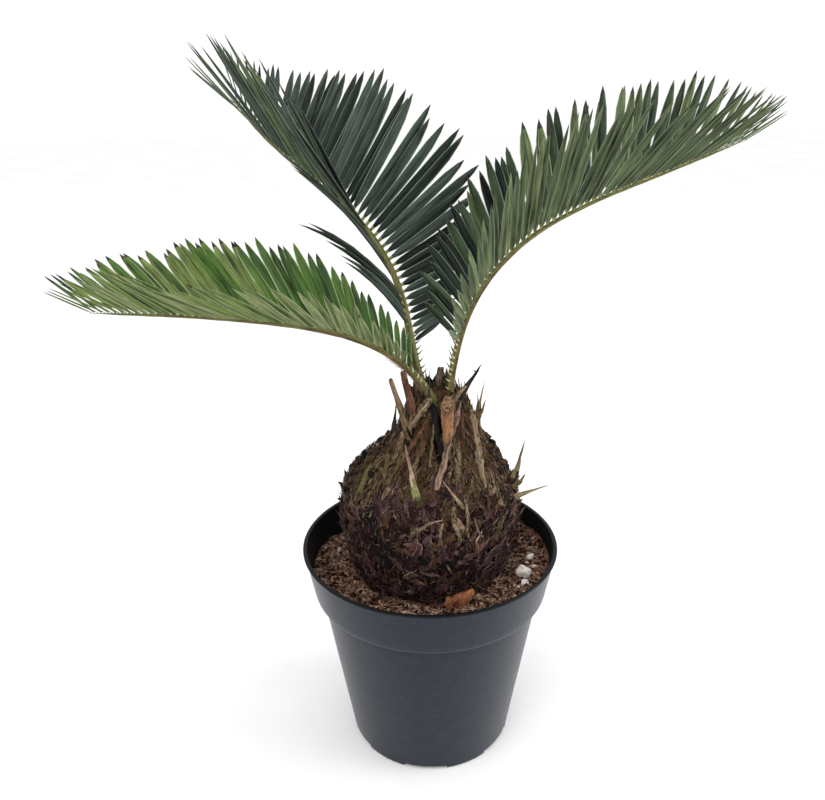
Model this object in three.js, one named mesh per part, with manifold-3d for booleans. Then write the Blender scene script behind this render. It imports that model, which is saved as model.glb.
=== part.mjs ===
// A young sago palm in its nursery pot, in millimetres, +Z up.
// The origin is the centre of the pot's flat underside. Headings are degrees
// from +X towards +Y, and rises are degrees above the level.
import * as THREE from 'three';
import { mergeVertices } from 'three/addons/utils/BufferGeometryUtils.js';
import Module from 'manifold-3d';

const wasm = await Module();
wasm.setup();

// Clearance between neighbouring solids
const GAP = 0.3;
// The same for a socket round a stalk of six sides, whose flats lie nearer than its corners
const SOCKET_GAP = GAP / Math.cos(Math.PI / 6);

// The pot: a tapering body under a wider collar with a thin lip
const POT = {
  lipRadius: 75,
  height: 129.3,
  collarTopRadius: 74,
  collarFootRadius: 69.2,
  collarHeight: 28,
  bodyTopRadius: 65.1,
  baseRadius: 49.5,
  wall: 1.4,
  floor: 3.6,
  lipHeight: 1.3,
  sides: 48,
};
// Shallow drain notches under its edge, the first of them at the front
const DRAIN = { count: 6, width: 26, depth: 5, height: 2.4, firstHeading: -95 };

// The potting soil: its mean level, and how much higher it lies towards one heading
const SOIL = { level: 114, tilt: 4.2, tiltHeading: -25, roughness: 0.7, sides: POT.sides };

// The trunk: a swollen caudex from soil level, [height, radius, how far its middle leans to +X]
const TRUNK_FOOT = 112;
const TRUNK_SIDE = [
  [TRUNK_FOOT, 44, 0], [119, 45.3, 0], [128, 47.6, 0], [137, 49.2, 0], [148, 50.6, 0], [158, 51, 0],
  [165, 49.6, 0], [172, 46.4, 0], [179, 42, 0.6], [186, 36.2, 2.2], [193, 28.8, 4.8], [200, 23.8, 5],
  [208, 20.2, 5], [216, 17.2, 5], [223, 14.4, 5], [228, 9.6, 5],
];
const TRUNK_SIDES = 44;
// Old leaf bases stand out of it in rows, each a wedge that is thickest at its top
const LEAF_BASES = { rowHeight: 10.5, perRow: 13, relief: 3.4, start: 120, end: 206 };
const RECESS_RADIUS = 46;

// Fronds. Lists are values spread evenly from foot to tip, joined smoothly.
// Each side's row of leaflets starts at the share `first` of the rachis. lift is how far
// the leaflets stand up from the rachis, and forward the angle between the two. A frond is
// two solids, parted at its bend after the leaflet pair `splitAfter`.
const FRONDS = [
  {
    name: 'left',
    foot: [-0.8, -7.2, 226.2],
    length: 191,
    rise: [59, 32.3, 14.8, 7.2, 4, 1.5, 0.6],
    heading: [180, 183, 177.5, 174],
    splitAfter: 8,
    first: 0.08,
    curl: 0.1,
    left: {
      forward: [66, 66, 67, 61, 54, 49, 43, 39],
      lift: [13, 32, 42, 38, 32, 36, 58, 64, 61],
      leaflet: [13, 25, 35, 50, 53, 49, 45, 37, 24],
    },
    right: {
      forward: [67, 67, 57, 47, 40],
      lift: [24, 31, 38, 37, 36, 45, 62],
      leaflet: [16, 31, 57, 64, 59, 47, 33],
    },
  },
  {
    name: 'back',
    foot: [-3.9, 6.2, 223.6],
    length: 217,
    rise: [67, 74.5, 54.5, 34.3, 29, 31, 36],
    heading: [125, 139, 144, 131.5],
    splitAfter: 9,
    first: 0.115,
    curl: 0.08,
    left: {
      forward: [57, 47, 50, 58, 51, 43, 37, 30, 45],
      lift: [26, 16, 8, 35, 51, 62, 64, 45, 18],
      leaflet: [10, 43, 77, 78, 70, 74, 76, 61, 32],
      bare: [0.245, 0.43],
    },
    right: {
      forward: [62, 73, 83, 85, 81, 72, 59, 36, 13],
      lift: [-28, 11, 38, 54, 63, 49, 36, 28, 19],
      leaflet: [12, 22, 44, 65, 72, 72, 65, 56, 60],
    },
  },
  {
    name: 'right',
    foot: [10.4, 1.1, 218.2],
    length: 232,
    rise: [83.5, 72.4, 47.8, 27.6, 19, 18.7, 17.6],
    heading: [13.7, 13, 11.5, 13],
    splitAfter: 8,
    first: 0.145,
    curl: 0.01,
    left: {
      forward: [63, 64, 64, 52, 30],
      lift: [50, 50, 54, 54, 50, 50, 47],
      leaflet: [6, 30, 47, 58, 65, 59, 35],
    },
    right: {
      forward: [73, 72, 66, 66, 63, 55, 42, 32],
      lift: [38, 34, 41, 52, 59, 47, 44, 43, 46],
      leaflet: [10, 24, 40, 58, 63, 63, 60, 47, 23],
    },
  },
];
const RACHIS = { footWidth: 6.2, tipWidth: 1.3, depthShare: 0.85, sides: 6, step: 9, sunk: 8 };
// A leaflet is widest at the share `widestAt` of its length
const LEAFLET = { perRow: 34, width: 5, thickness: 1, rootShare: 0.75, widestAt: 0.58, sunk: 0.6 };
// Half the room that a leaflet or a rachis keeps clear of the other fronds
const LEAFLET_REACH = 1.2;
const RACHIS_REACH = 3.6;

// What stands out of the trunk, by its foot and its tip: cut leaf stalks, and the
// spikes of dry scale leaves. tipShare is the tip's width over the foot's.
const OUTGROWTHS = [
  { name: 'cut_stalk_tan', foot: [-12.2, -17.2, 209], tip: [-20.5, -19.6, 238], width: 4.4, tipShare: 0.55 },
  { name: 'cut_stalk_red', foot: [-8.4, -15.4, 216], tip: [-13.9, -15.4, 240.7], width: 5.2, tipShare: 0.7 },
  { name: 'cut_stalk_orange', foot: [9.4, -23.1, 203.4], tip: [9.2, -27.1, 227], width: 6.8, tipShare: 0.9 },
  { name: 'cut_stalk_brown', foot: [4.2, 2.4, 220], tip: [6.8, 7.4, 235], width: 4.2, tipShare: 0.95 },
  { name: 'cut_stalk_back_left', foot: [-6, 19, 203], tip: [-8, 23, 214], width: 5, tipShare: 0.85 },
  { name: 'cut_stalk_back_right', foot: [16, 17, 203], tip: [19, 21, 214], width: 5.4, tipShare: 0.85 },
  { name: 'scale_right_broad', foot: [21, -4, 200], tip: [24, -2, 217], width: 7, tipShare: 0.45 },
  { name: 'spike_left_dark', foot: [-19.7, -1.2, 201.8], tip: [-18.2, -3.2, 218.3], width: 3 },
  { name: 'spike_crown_black', foot: [-0.1, -14, 224], tip: [0.3, -13.4, 242.5], width: 2.2 },
  { name: 'spike_right_long', foot: [15.4, -8, 221.3], tip: [28.5, -8, 242.2], width: 4.2 },
  { name: 'spike_right_thin', foot: [26.3, 5.1, 200.7], tip: [31.4, 7.1, 226.9], width: 2.8 },
  { name: 'spike_front_green', foot: [-7.5, -42.1, 178.9], tip: [-13.2, -47.1, 213.1], width: 3.6 },
  { name: 'spike_front_pale', foot: [16.2, -42, 174.6], tip: [5.2, -48, 193.5], width: 2.2 },
  { name: 'spike_side_up', foot: [46, -12.4, 168.1], tip: [52.4, -12.4, 199], width: 3.8 },
  { name: 'spike_side_flat', foot: [45.6, -16.7, 165.3], tip: [66.6, -14.7, 172.2], width: 3.2 },
  { name: 'spike_back_up', foot: [-14, 30, 190], tip: [-18, 38, 203], width: 3 },
];
const SPIKE_TIP_SHARE = 0.12;
// An outgrowth's root goes this far down and this far towards the trunk's middle
const ROOT_DEPTH = 4;
const ROOT_INWARD = 2.5;

// What lies on the soil: [heading, distance from the axis], size along, across and up, the turn on
// the spot, how far its right end is tipped up, and the share of its height that its middle is raised
const ON_SOIL = [
  { name: 'bark_chip', place: [-71, 50], size: [20, 5.5, 12], turn: 19, tip: 25, raised: 0.35 },
  { name: 'perlite_large', place: [-20.5, 57.5], size: [8.6, 7.4, 6.4], turn: 10, tip: 0, raised: 0.2 },
  { name: 'perlite_small_1', place: [-3.5, 60], size: [4.6, 4, 3.6], turn: 50, tip: 0, raised: 0.2 },
  { name: 'perlite_small_2', place: [-28.5, 60.5], size: [4.4, 4.2, 3.4], turn: 80, tip: 0, raised: 0.2 },
];
const CHIP_COLOUR = 0x9a5630;
const PERLITE_COLOUR = 0xe4dad0;

const rad = THREE.MathUtils.degToRad;

// A stream of even random numbers from 0 to 1 that is the same on every run
function seeded(seed) {
  let state = seed;
  return () => {
    state = (state * 1664525 + 1013904223) % 4294967296;
    return state / 4294967296;
  };
}

// The value at u from 0 to 1 on a smooth curve through evenly spread values
function along(values, u) {
  const last = values.length - 1;
  const x = THREE.MathUtils.clamp(u, 0, 1) * last;
  const i = Math.min(Math.floor(x), last - 1);
  const t = x - i;
  const [a, b, c, d] = [-1, 0, 1, 2].map((k) => values[THREE.MathUtils.clamp(i + k, 0, last)]);
  return b + 0.5 * t * (c - a + t * (2 * a - 5 * b + 4 * c - d + t * (3 * (b - c) + d - a)));
}

// A row of the trunk's table at a height: its radius there, and how far its middle leans
function trunkAt(height) {
  const i = THREE.MathUtils.clamp(TRUNK_SIDE.findIndex(([z]) => z >= height), 1, TRUNK_SIDE.length - 1);
  const [below, above] = [TRUNK_SIDE[i - 1], TRUNK_SIDE[i]];
  const t = THREE.MathUtils.clamp((height - below[0]) / (above[0] - below[0]), 0, 1);
  const [radius, lean] = [1, 2].map((k) => THREE.MathUtils.lerp(below[k], above[k], t));
  return { radius, lean };
}

function direction(heading, rise) {
  const flat = Math.cos(rad(rise));
  return new THREE.Vector3(flat * Math.cos(rad(heading)), flat * Math.sin(rad(heading)), Math.sin(rad(rise)));
}

// A closed solid of geometry whose shared corners are merged and whose empty faces are dropped
function solid(geometry) {
  const bare = new THREE.BufferGeometry();
  bare.setAttribute('position', geometry.getAttribute('position').clone());
  bare.setIndex(geometry.getIndex());
  const merged = mergeVertices(bare, 1e-4);
  const index = Array.from(merged.getIndex().array);
  const faces = [];
  for (let k = 0; k < index.length; k += 3) {
    const [a, b, c] = index.slice(k, k + 3);
    if (a !== b && b !== c && c !== a) {
      faces.push(a, b, c);
    }
  }
  const mesh = new wasm.Mesh({
    numProp: 3,
    vertProperties: new Float32Array(merged.getAttribute('position').array),
    triVerts: new Uint32Array(faces),
  });
  return new wasm.Manifold(mesh);
}

function geometryOf(manifold) {
  const { vertProperties, triVerts } = manifold.getMesh();
  const geometry = new THREE.BufferGeometry();
  geometry.setAttribute('position', new THREE.BufferAttribute(new Float32Array(vertProperties), 3));
  geometry.setIndex(new THREE.BufferAttribute(new Uint32Array(triVerts), 1));
  geometry.computeVertexNormals();
  return geometry;
}

// A closed skin over rings of points. An end ring is one point, or is closed by a flat fan.
function skin(rings) {
  const points = rings.flat();
  const faces = [];
  const count = Math.max(...rings.map((ring) => ring.length));
  let start = 0;
  for (let k = 0; k + 1 < rings.length; k += 1) {
    const next = start + rings[k].length;
    for (let i = 0; i < count; i += 1) {
      const j = (i + 1) % count;
      const [a, b] = rings[k].length > 1 ? [start + i, start + j] : [start, start];
      const [c, d] = rings[k + 1].length > 1 ? [next + j, next + i] : [next, next];
      if (a !== b) {
        faces.push(a, b, c);
      }
      if (c !== d) {
        faces.push(a, c, d);
      }
    }
    start = next;
  }
  for (let i = 1; i + 1 < rings[0].length; i += 1) {
    faces.push(0, i + 1, i);
  }
  for (let i = 1; i + 1 < rings.at(-1).length; i += 1) {
    faces.push(start, start + i, start + i + 1);
  }
  let volume = 0;
  for (let k = 0; k < faces.length; k += 3) {
    const [a, b, c] = [points[faces[k]], points[faces[k + 1]], points[faces[k + 2]]];
    volume += a.dot(new THREE.Vector3().crossVectors(b, c));
  }
  if (volume < 0) {
    faces.reverse();
  }
  const geometry = new THREE.BufferGeometry();
  geometry.setFromPoints(points);
  geometry.setIndex(faces);
  return geometry;
}

// A ring of points round a centre, on an oval of the two half widths
function oval(centre, acrossAxis, upAxis, acrossHalf, upHalf, sides) {
  return Array.from({ length: sides }, (_, i) => {
    const turn = (2 * Math.PI * (i + 0.5)) / sides;
    return centre.clone()
      .addScaledVector(acrossAxis, acrossHalf * Math.cos(turn))
      .addScaledVector(upAxis, upHalf * Math.sin(turn));
  });
}

// Level rings round the vertical axis, with radius and height as functions of the heading
function levelRing(sides, radius, height) {
  return Array.from({ length: sides }, (_, i) => {
    const turn = (2 * Math.PI * i) / sides;
    const r = radius(turn);
    return new THREE.Vector3(r * Math.cos(turn), r * Math.sin(turn), height(turn));
  });
}

// The shortest distance between two straight stretches, each given by its two ends
function stretchDistance([p, q], [r, s]) {
  const d1 = q.clone().sub(p);
  const d2 = s.clone().sub(r);
  const w = p.clone().sub(r);
  const a = d1.dot(d1);
  const b = d1.dot(d2);
  const c = d2.dot(d2);
  const d = d1.dot(w);
  const e = d2.dot(w);
  const clamp = (x) => THREE.MathUtils.clamp(x, 0, 1);
  const even = a * c - b * b;
  let t = even > 1e-9 ? clamp((b * e - c * d) / even) : 0;
  const v = clamp((b * t + e) / c);
  t = clamp((b * v - d) / a);
  return p.clone().addScaledVector(d1, t).distanceTo(r.clone().addScaledVector(d2, v));
}

// The pot's inner radius at a height above its step
function collarInside(height) {
  const t = (height - (POT.height - POT.collarHeight)) / POT.collarHeight;
  return THREE.MathUtils.lerp(POT.collarFootRadius, POT.collarTopRadius, t) - POT.wall;
}

function potSolid() {
  const stepHeight = POT.height - POT.collarHeight;
  const lipFoot = POT.height - POT.lipHeight;
  const inner = POT.collarTopRadius - POT.wall;
  const profile = [
    [0, 0], [POT.baseRadius - 2, 0], [POT.baseRadius - 0.5, 0.6], [POT.baseRadius, 2],
    [POT.bodyTopRadius, stepHeight], [POT.collarFootRadius, stepHeight],
    [POT.collarTopRadius, lipFoot], [POT.lipRadius, lipFoot + 0.4], [POT.lipRadius, POT.height - 0.3],
    [POT.lipRadius - 0.5, POT.height], [inner + 0.3, POT.height], [inner, lipFoot],
    [POT.collarFootRadius - POT.wall, stepHeight + POT.wall],
    [POT.bodyTopRadius - POT.wall, stepHeight + POT.wall],
    [POT.baseRadius - POT.wall, POT.floor], [0, POT.floor],
  ];
  const turned = solid(skin(profile.map(([r, z]) => (
    r > 0 ? levelRing(POT.sides, () => r, () => z) : [new THREE.Vector3(0, 0, z)]
  ))));
  const notches = Array.from({ length: DRAIN.count }, (_, i) => {
    const box = new THREE.BoxGeometry(2 * DRAIN.depth, DRAIN.width, 2 * DRAIN.height);
    box.translate(POT.baseRadius, 0, 0);
    box.rotateZ(rad(DRAIN.firstHeading) + (2 * Math.PI * i) / DRAIN.count);
    return solid(box);
  });
  return turned.subtract(wasm.Manifold.union(notches));
}

function soilHeight(turn, radius) {
  const slope = SOIL.tilt * Math.cos(turn - rad(SOIL.tiltHeading)) * (radius / POT.lipRadius);
  const lumps = Math.sin(5 * turn + radius / 7) + Math.sin(9 * turn - radius / 4) * 0.6;
  return SOIL.level + slope + SOIL.roughness * lumps;
}

function soilSolid() {
  const step = POT.height - POT.collarHeight + POT.wall + GAP;
  const wallRadius = POT.bodyTopRadius - POT.wall - GAP;
  const level = (radius, height) => levelRing(SOIL.sides, () => radius, () => height);
  const edge = (turn) => collarInside(soilHeight(turn, POT.lipRadius)) - GAP;
  const surface = (share) => {
    const radius = (turn) => THREE.MathUtils.lerp(RECESS_RADIUS, edge(turn), share);
    return levelRing(SOIL.sides, radius, (turn) => soilHeight(turn, radius(turn)));
  };
  return solid(skin([
    level(POT.baseRadius - POT.wall - GAP, POT.floor),
    level(wallRadius, step),
    level(POT.collarFootRadius - POT.wall - GAP, step),
    surface(1), surface(0.75), surface(0.5), surface(0.25), surface(0),
    level(RECESS_RADIUS, TRUNK_FOOT),
  ]));
}

// How far an old leaf base stands out at a place on the trunk. Each lies in its own
// cell of a staggered net, rounded across and thickest at its upper edge.
function leafBaseRelief(turn, height) {
  const { rowHeight, perRow, relief, start, end } = LEAF_BASES;
  const fade = THREE.MathUtils.smoothstep(height, start, start + 8)
    * (1 - THREE.MathUtils.smoothstep(height, end, end + 12));
  const row = Math.floor((height - start) / rowHeight);
  const up = (height - start) / rowHeight - row;
  const cells = (turn / (2 * Math.PI)) * perRow + (row % 2) / 2;
  const across = cells - Math.floor(cells) - 0.5;
  const size = 0.7 + 0.3 * Math.sin(row * 7.3 + Math.floor(cells) * 4.1);
  return fade * size * relief * (1 - 4 * across * across) * (0.25 + 0.75 * up) - fade * 1.2;
}

function trunkSolid() {
  const heights = [];
  for (let z = TRUNK_FOOT; z < TRUNK_SIDE.at(-1)[0] - 3; z += LEAF_BASES.rowHeight / 3) {
    heights.push(z);
  }
  heights.push(TRUNK_SIDE.at(-1)[0]);
  return solid(skin(heights.map((z) => {
    const { radius, lean } = trunkAt(z);
    const ring = levelRing(TRUNK_SIDES, (turn) => radius + leafBaseRelief(turn, z), () => z);
    return ring.map((point) => point.setX(point.x + lean));
  })));
}

// A stalk or spike that grows out of the trunk, swollen by extra for its socket
function outgrowth({ foot, tip, width, tipShare = SPIKE_TIP_SHARE }, extra) {
  const start = new THREE.Vector3(...foot);
  const end = new THREE.Vector3(...tip);
  const way = end.clone().sub(start).normalize();
  const out = new THREE.Vector3(start.x - trunkAt(start.z).lean, start.y, 0).normalize();
  const side = new THREE.Vector3().crossVectors(way, out).normalize();
  const up = new THREE.Vector3().crossVectors(side, way);
  const length = start.distanceTo(end);
  const ring = (s, share, inward) => {
    const centre = start.clone().addScaledVector(way, s).addScaledVector(out, -inward);
    const half = (width * share) / 2 + extra;
    return oval(centre, side, up, half, half, 6);
  };
  const middle = 0.45 + 0.55 * tipShare;
  return solid(skin([
    ring(-ROOT_DEPTH - extra, 1, ROOT_INWARD),
    ring(length * 0.15, 1, 0),
    ring(length * 0.6, middle, 0),
    ring(length + extra, tipShare, 0),
  ]));
}

// The rachis as stations: place, forward, left and up at even steps of its length
function rachisStations(frond) {
  const steps = 360;
  const stride = frond.length / steps;
  const stations = [];
  const place = new THREE.Vector3(...frond.foot);
  for (let i = 0; i <= steps; i += 1) {
    const u = i / steps;
    const heading = along(frond.heading, u);
    const forward = direction(heading, along(frond.rise, u));
    const left = direction(heading + 90, 0);
    if (i > 0) {
      place.addScaledVector(forward.clone().add(stations[i - 1].forward), stride / 2);
    }
    const up = new THREE.Vector3().crossVectors(forward, left);
    stations.push({ u, place: place.clone(), forward, left, up });
  }
  return stations;
}

function stationAt(stations, u) {
  return stations[Math.round(THREE.MathUtils.clamp(u, 0, 1) * (stations.length - 1))];
}

function rachisWidth(u) {
  return THREE.MathUtils.lerp(RACHIS.footWidth, RACHIS.tipWidth, Math.pow(Math.max(u, 0), 0.6));
}

// The rachis between two shares of its length, sunk below its foot where it starts there
function rachisSolid(frond, stations, from, to, extra) {
  const count = Math.max(3, Math.round(((to - from) * frond.length) / RACHIS.step));
  const ring = (station, offset) => {
    const half = rachisWidth(station.u) / 2;
    const centre = station.place.clone().addScaledVector(station.forward, offset);
    const depthHalf = half * RACHIS.depthShare;
    return oval(centre, station.left, station.up, half + extra, depthHalf + extra, RACHIS.sides);
  };
  const rings = from === 0 ? [ring(stations[0], -RACHIS.sunk - extra)] : [];
  for (let i = 0; i <= count; i += 1) {
    const atSplit = (i === 0 && from > 0 ? 1 : 0) - (i === count && to < 1 ? 1 : 0);
    rings.push(ring(stationAt(stations, from + ((to - from) * i) / count), (atSplit * GAP) / 2));
  }
  return solid(skin(rings));
}

// Where a leaflet of one side's row lies: its root, middle and tip, its width and its blade's axes
function leafletPlan(frond, station, side, random) {
  const { u } = station;
  const row = side > 0 ? frond.left : frond.right;
  const lift = rad(along(row.lift, u));
  const forward = rad(along(row.forward, u));
  const length = along(row.leaflet, u) * (0.96 + 0.08 * random());
  const way = station.forward.clone().multiplyScalar(Math.cos(forward))
    .addScaledVector(station.left, side * Math.sin(forward) * Math.cos(lift))
    .addScaledVector(station.up, Math.sin(forward) * Math.sin(lift));
  const tipWay = way.clone().addScaledVector(station.forward, frond.curl).normalize();
  const root = station.place.clone()
    .addScaledVector(station.left, side * rachisWidth(u) * 0.25)
    .addScaledVector(station.up, rachisWidth(u) * 0.12);
  const middle = root.clone().addScaledVector(way, length / 2);
  const widest = middle.clone().addScaledVector(tipWay, length * (LEAFLET.widestAt - 0.5));
  const tip = middle.clone().addScaledVector(tipWay, length / 2);
  const spacing = (frond.length * (1 - frond.first)) / LEAFLET.perRow;
  const width = Math.min(LEAFLET.width, 0.9 * spacing * Math.sin(forward), length * 0.16);
  const across = station.forward.clone().addScaledVector(way, -station.forward.dot(way)).normalize();
  const face = new THREE.Vector3().crossVectors(way, across);
  if (face.dot(station.up) < 0) {
    face.negate();
  }
  return { u, way, root, widest, tip, width, across, face };
}

// A leaflet is a slim spindle of three sides: a flat upper face over a keel
function leafletSolid({ way, root, widest, tip, width, across, face }) {
  const ring = (centre, share) => [
    centre.clone().addScaledVector(across, (width * share) / 2),
    centre.clone().addScaledVector(across, (-width * share) / 2),
    centre.clone().addScaledVector(face, -LEAFLET.thickness),
  ];
  const start = root.clone().addScaledVector(way, -LEAFLET.sunk);
  return solid(skin([ring(start, LEAFLET.rootShare), ring(widest, 1), [tip]]));
}

function leafletPlans(frond, stations, random) {
  const plans = [];
  for (const side of [1, -1]) {
    const [bareFrom, bareTo] = (side > 0 ? frond.left : frond.right).bare ?? [1, 1];
    for (let i = 0; i < LEAFLET.perRow; i += 1) {
      const u = frond.first + ((1 - frond.first) * (i + 0.5)) / LEAFLET.perRow;
      if (u < bareFrom || u > bareTo) {
        plans.push(leafletPlan(frond, stationAt(stations, u), side, random));
      }
    }
  }
  return plans;
}

// A straight stretch of a frond, from one end to the other, and the room it keeps clear round it
function stretchOf(frond, ends, reach) {
  return { frond, ends, reach };
}

function leafletStretches(frond, { root, widest, tip }) {
  return [[root, widest], [widest, tip]].map((ends) => stretchOf(frond, ends, LEAFLET_REACH));
}

function rachisStretches(frond, stations) {
  const pieces = 24;
  const stride = (stations.length - 1) / pieces;
  return Array.from({ length: pieces }, (_, i) => (
    stretchOf(frond, [stations[i * stride].place, stations[(i + 1) * stride].place], RACHIS_REACH)
  ));
}

// Whether a stretch of one frond comes too near a stretch of another
function meets(one, other) {
  return one.frond !== other.frond && stretchDistance(one.ends, other.ends) < one.reach + other.reach;
}

// The leaflets of a frond that keep clear of the other fronds, which are added to what is taken
function clearPlans(frond, stations, taken, random) {
  const plans = leafletPlans(frond, stations, random).filter((plan) => (
    !leafletStretches(frond, plan).some((own) => taken.some((other) => meets(own, other)))
  ));
  taken.push(...plans.flatMap((plan) => leafletStretches(frond, plan)));
  return plans;
}

// A frond's two solids, and the room its foot takes in the trunk
function frondParts(frond, stations, taken, random) {
  const plans = clearPlans(frond, stations, taken, random);
  const split = frond.first + ((1 - frond.first) * frond.splitAfter) / LEAFLET.perRow;
  const part = (from, to, name) => {
    const leaves = plans.filter(({ u }) => u > from && u <= to).map(leafletSolid);
    return { name, body: wasm.Manifold.union([rachisSolid(frond, stations, from, to, 0), ...leaves]) };
  };
  return {
    parts: [part(0, split, `frond_${frond.name}_lower`), part(split, 1, `frond_${frond.name}_outer`)],
    socket: rachisSolid(frond, stations, 0, 0.15, SOCKET_GAP),
  };
}

// A lump on the soil: a rounded stone shape of a few faces, tipped and turned on the spot
function soilPiece({ place, size, turn, tip, raised }, extra) {
  const [heading, distance] = place;
  const lump = new THREE.IcosahedronGeometry(0.5, 1);
  lump.scale(...size.map((length) => length + 2 * extra));
  lump.rotateY(-rad(tip));
  lump.rotateZ(rad(turn));
  const centre = direction(heading, 0).multiplyScalar(distance);
  lump.translate(centre.x, centre.y, soilHeight(rad(heading), distance) + size[2] * raised);
  return solid(lump);
}

const group = new THREE.Group();

function addMesh(name, body, colour, roughness) {
  const material = new THREE.MeshStandardMaterial({ color: colour, roughness, metalness: 0 });
  const mesh = new THREE.Mesh(geometryOf(body), material);
  mesh.name = name;
  group.add(mesh);
}

const random = seeded(7);
const stations = FRONDS.map(rachisStations);
const taken = FRONDS.flatMap((frond, i) => rachisStretches(frond, stations[i]));
const fronds = FRONDS.map((frond, i) => frondParts(frond, stations[i], taken, random));
const sockets = [
  ...fronds.map(({ socket }) => socket),
  ...OUTGROWTHS.map((piece) => outgrowth(piece, SOCKET_GAP)),
];

addMesh('pot', potSolid(), 0x3b4148, 0.45);
const soil = soilSolid().subtract(wasm.Manifold.union(ON_SOIL.map((piece) => soilPiece(piece, 1.4 * GAP))));
addMesh('soil', soil, 0x4a3426, 0.95);
addMesh('trunk', trunkSolid().subtract(wasm.Manifold.union(sockets)), 0x4b3629, 0.9);
for (const { parts } of fronds) {
  for (const { name, body } of parts) {
    addMesh(name, body, 0x4a6a36, 0.5);
  }
}
for (const piece of OUTGROWTHS) {
  addMesh(piece.name, outgrowth(piece, 0), 0x7a5a3c, 0.85);
}
for (const piece of ON_SOIL) {
  const colour = piece.name === 'bark_chip' ? CHIP_COLOUR : PERLITE_COLOUR;
  addMesh(piece.name, soilPiece(piece, 0), colour, 0.9);
}

export default group;
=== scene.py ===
"""A young sago palm in its nursery pot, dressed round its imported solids.

Shapes are worked out in millimetres and become metres when a piece is made. +Z is up and -Y points
towards the camera. Headings are degrees from +X towards +Y, and rises are degrees above the level.
"""

import math
from itertools import product

import bpy
import numpy as np
from mathutils import Matrix, Vector


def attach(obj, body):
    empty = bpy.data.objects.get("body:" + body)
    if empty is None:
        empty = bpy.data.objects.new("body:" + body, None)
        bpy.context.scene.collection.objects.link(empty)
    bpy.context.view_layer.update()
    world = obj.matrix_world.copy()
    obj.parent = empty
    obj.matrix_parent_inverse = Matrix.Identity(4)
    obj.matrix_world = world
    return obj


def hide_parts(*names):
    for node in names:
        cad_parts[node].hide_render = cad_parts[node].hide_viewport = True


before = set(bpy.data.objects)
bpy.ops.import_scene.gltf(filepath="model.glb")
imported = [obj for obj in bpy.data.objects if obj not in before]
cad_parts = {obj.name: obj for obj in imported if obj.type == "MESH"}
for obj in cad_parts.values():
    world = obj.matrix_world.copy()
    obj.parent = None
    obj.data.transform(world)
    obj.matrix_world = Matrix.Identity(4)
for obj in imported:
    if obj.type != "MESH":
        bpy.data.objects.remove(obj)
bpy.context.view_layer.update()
RANDOM = np.random.default_rng(2916)
random, uniform, normal = RANDOM.random, RANDOM.uniform, RANDOM.normal

# The camera, solved from the photograph of 825 by 800 pixels
PHOTO_WIDTH = 825
FOCUS = 800
CAMERA_PLACE = (-9.1, -412.449, 382.984)
CAMERA_DROP = 21.73
CAMERA_ROLL = -0.78

# The pot: a tapering body under a wider collar with a thin lip
LIP_RADIUS = 75
POT_HEIGHT = 129.3
COLLAR_TOP_RADIUS = 74
COLLAR_FOOT_RADIUS = 69.2
COLLAR_HEIGHT = 28
BODY_TOP_RADIUS = 65.1
BASE_RADIUS = 49.5
WALL = 1.4
POT_FLOOR = 3.6
LIP_HEIGHT = 1.3
NOTCHES = 6
NOTCH_WIDTH = 26
NOTCH_DEPTH = 5
NOTCH_HEIGHT = 2.4
FIRST_NOTCH = -95
POT_COLUMNS = 240

# The soil's mean level, and how much higher it lies towards one heading
SOIL_LEVEL = 114
SOIL_TILT = 4.2
SOIL_TILT_HEADING = -25
# Its waves, its lumps' height and width, how much it rises at the wall, and how far down and in it goes
SOIL_WAVES = 0.7
SOIL_LUMPS = 1.5
SOIL_LUMP_WIDTH = 8
SOIL_WALL_RISE = 2.5
SOIL_FOOT = 103
SOIL_INNER_RADIUS = 38
# The collar's inside widens by this much over its height, from this height on
COLLAR_SPREAD = 4.6
COLLAR_INSIDE_FOOT = 99
# Between these radii things are strewn over the soil
STREWN_FROM = 44
STREWN_TO = 69
# Crumbs: how many there are, how much larger the coarsest is than the finest, and their finish
CRUMBS = {
    "peat_crumbs_dark": (1500, 2.8, "peat_crumb_dark"), "peat_crumbs_light": (900, 2, "peat_crumb_light"),
}
COIR_FIBRES = 2500
PERLITE_SPECKS = 70
# Small perlite where the photograph shows it, and a little behind: heading, distance, size
PERLITE = (
    (-14, 62.5, 3.2), (-8, 58, 2.2), (-33, 59, 2.6), (-36, 64, 2.2), (-61, 66, 1.8), (-42, 66, 2.4),
    (-152, 62, 3), (-138, 59, 2.2), (-131, 66, 2), (-116, 65, 1.8), (-80, 67, 1.6), (-52, 69, 1.8),
    (20, 62, 2.6), (75, 60, 3), (118, 64, 2.4), (160, 60, 2.8), (48, 66, 2),
)
# What lies on the soil: heading, distance from the axis, size along, across and up, the turn on the
# spot, how far its right end is tipped up, and the share of its height that its middle is raised
ON_SOIL = {
    "bark_chip": (-71, 50, (20, 5.5, 12), 19, 25, 0.35),
    "perlite_large": (-20.5, 57.5, (8.6, 7.4, 6.4), 10, 0, 0.2),
    "perlite_small_1": (-3.5, 60, (4.6, 4, 3.6), 50, 0, 0.2),
    "perlite_small_2": (-28.5, 60.5, (4.4, 4.2, 3.4), 80, 0, 0.2),
}

# The trunk: height, radius, how far its middle leans to +X
TRUNK_SIDE = np.array([
    (112, 44, 0), (119, 45.3, 0), (128, 47.6, 0), (137, 49.2, 0), (148, 50.6, 0), (158, 51, 0),
    (165, 49.6, 0), (172, 46.4, 0), (179, 42, 0.6), (186, 36.2, 2.2), (193, 28.8, 4.8), (200, 23.8, 5),
    (208, 20.2, 5), (216, 17.2, 5), (223, 14.4, 5), (228, 9.6, 5),
])
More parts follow.
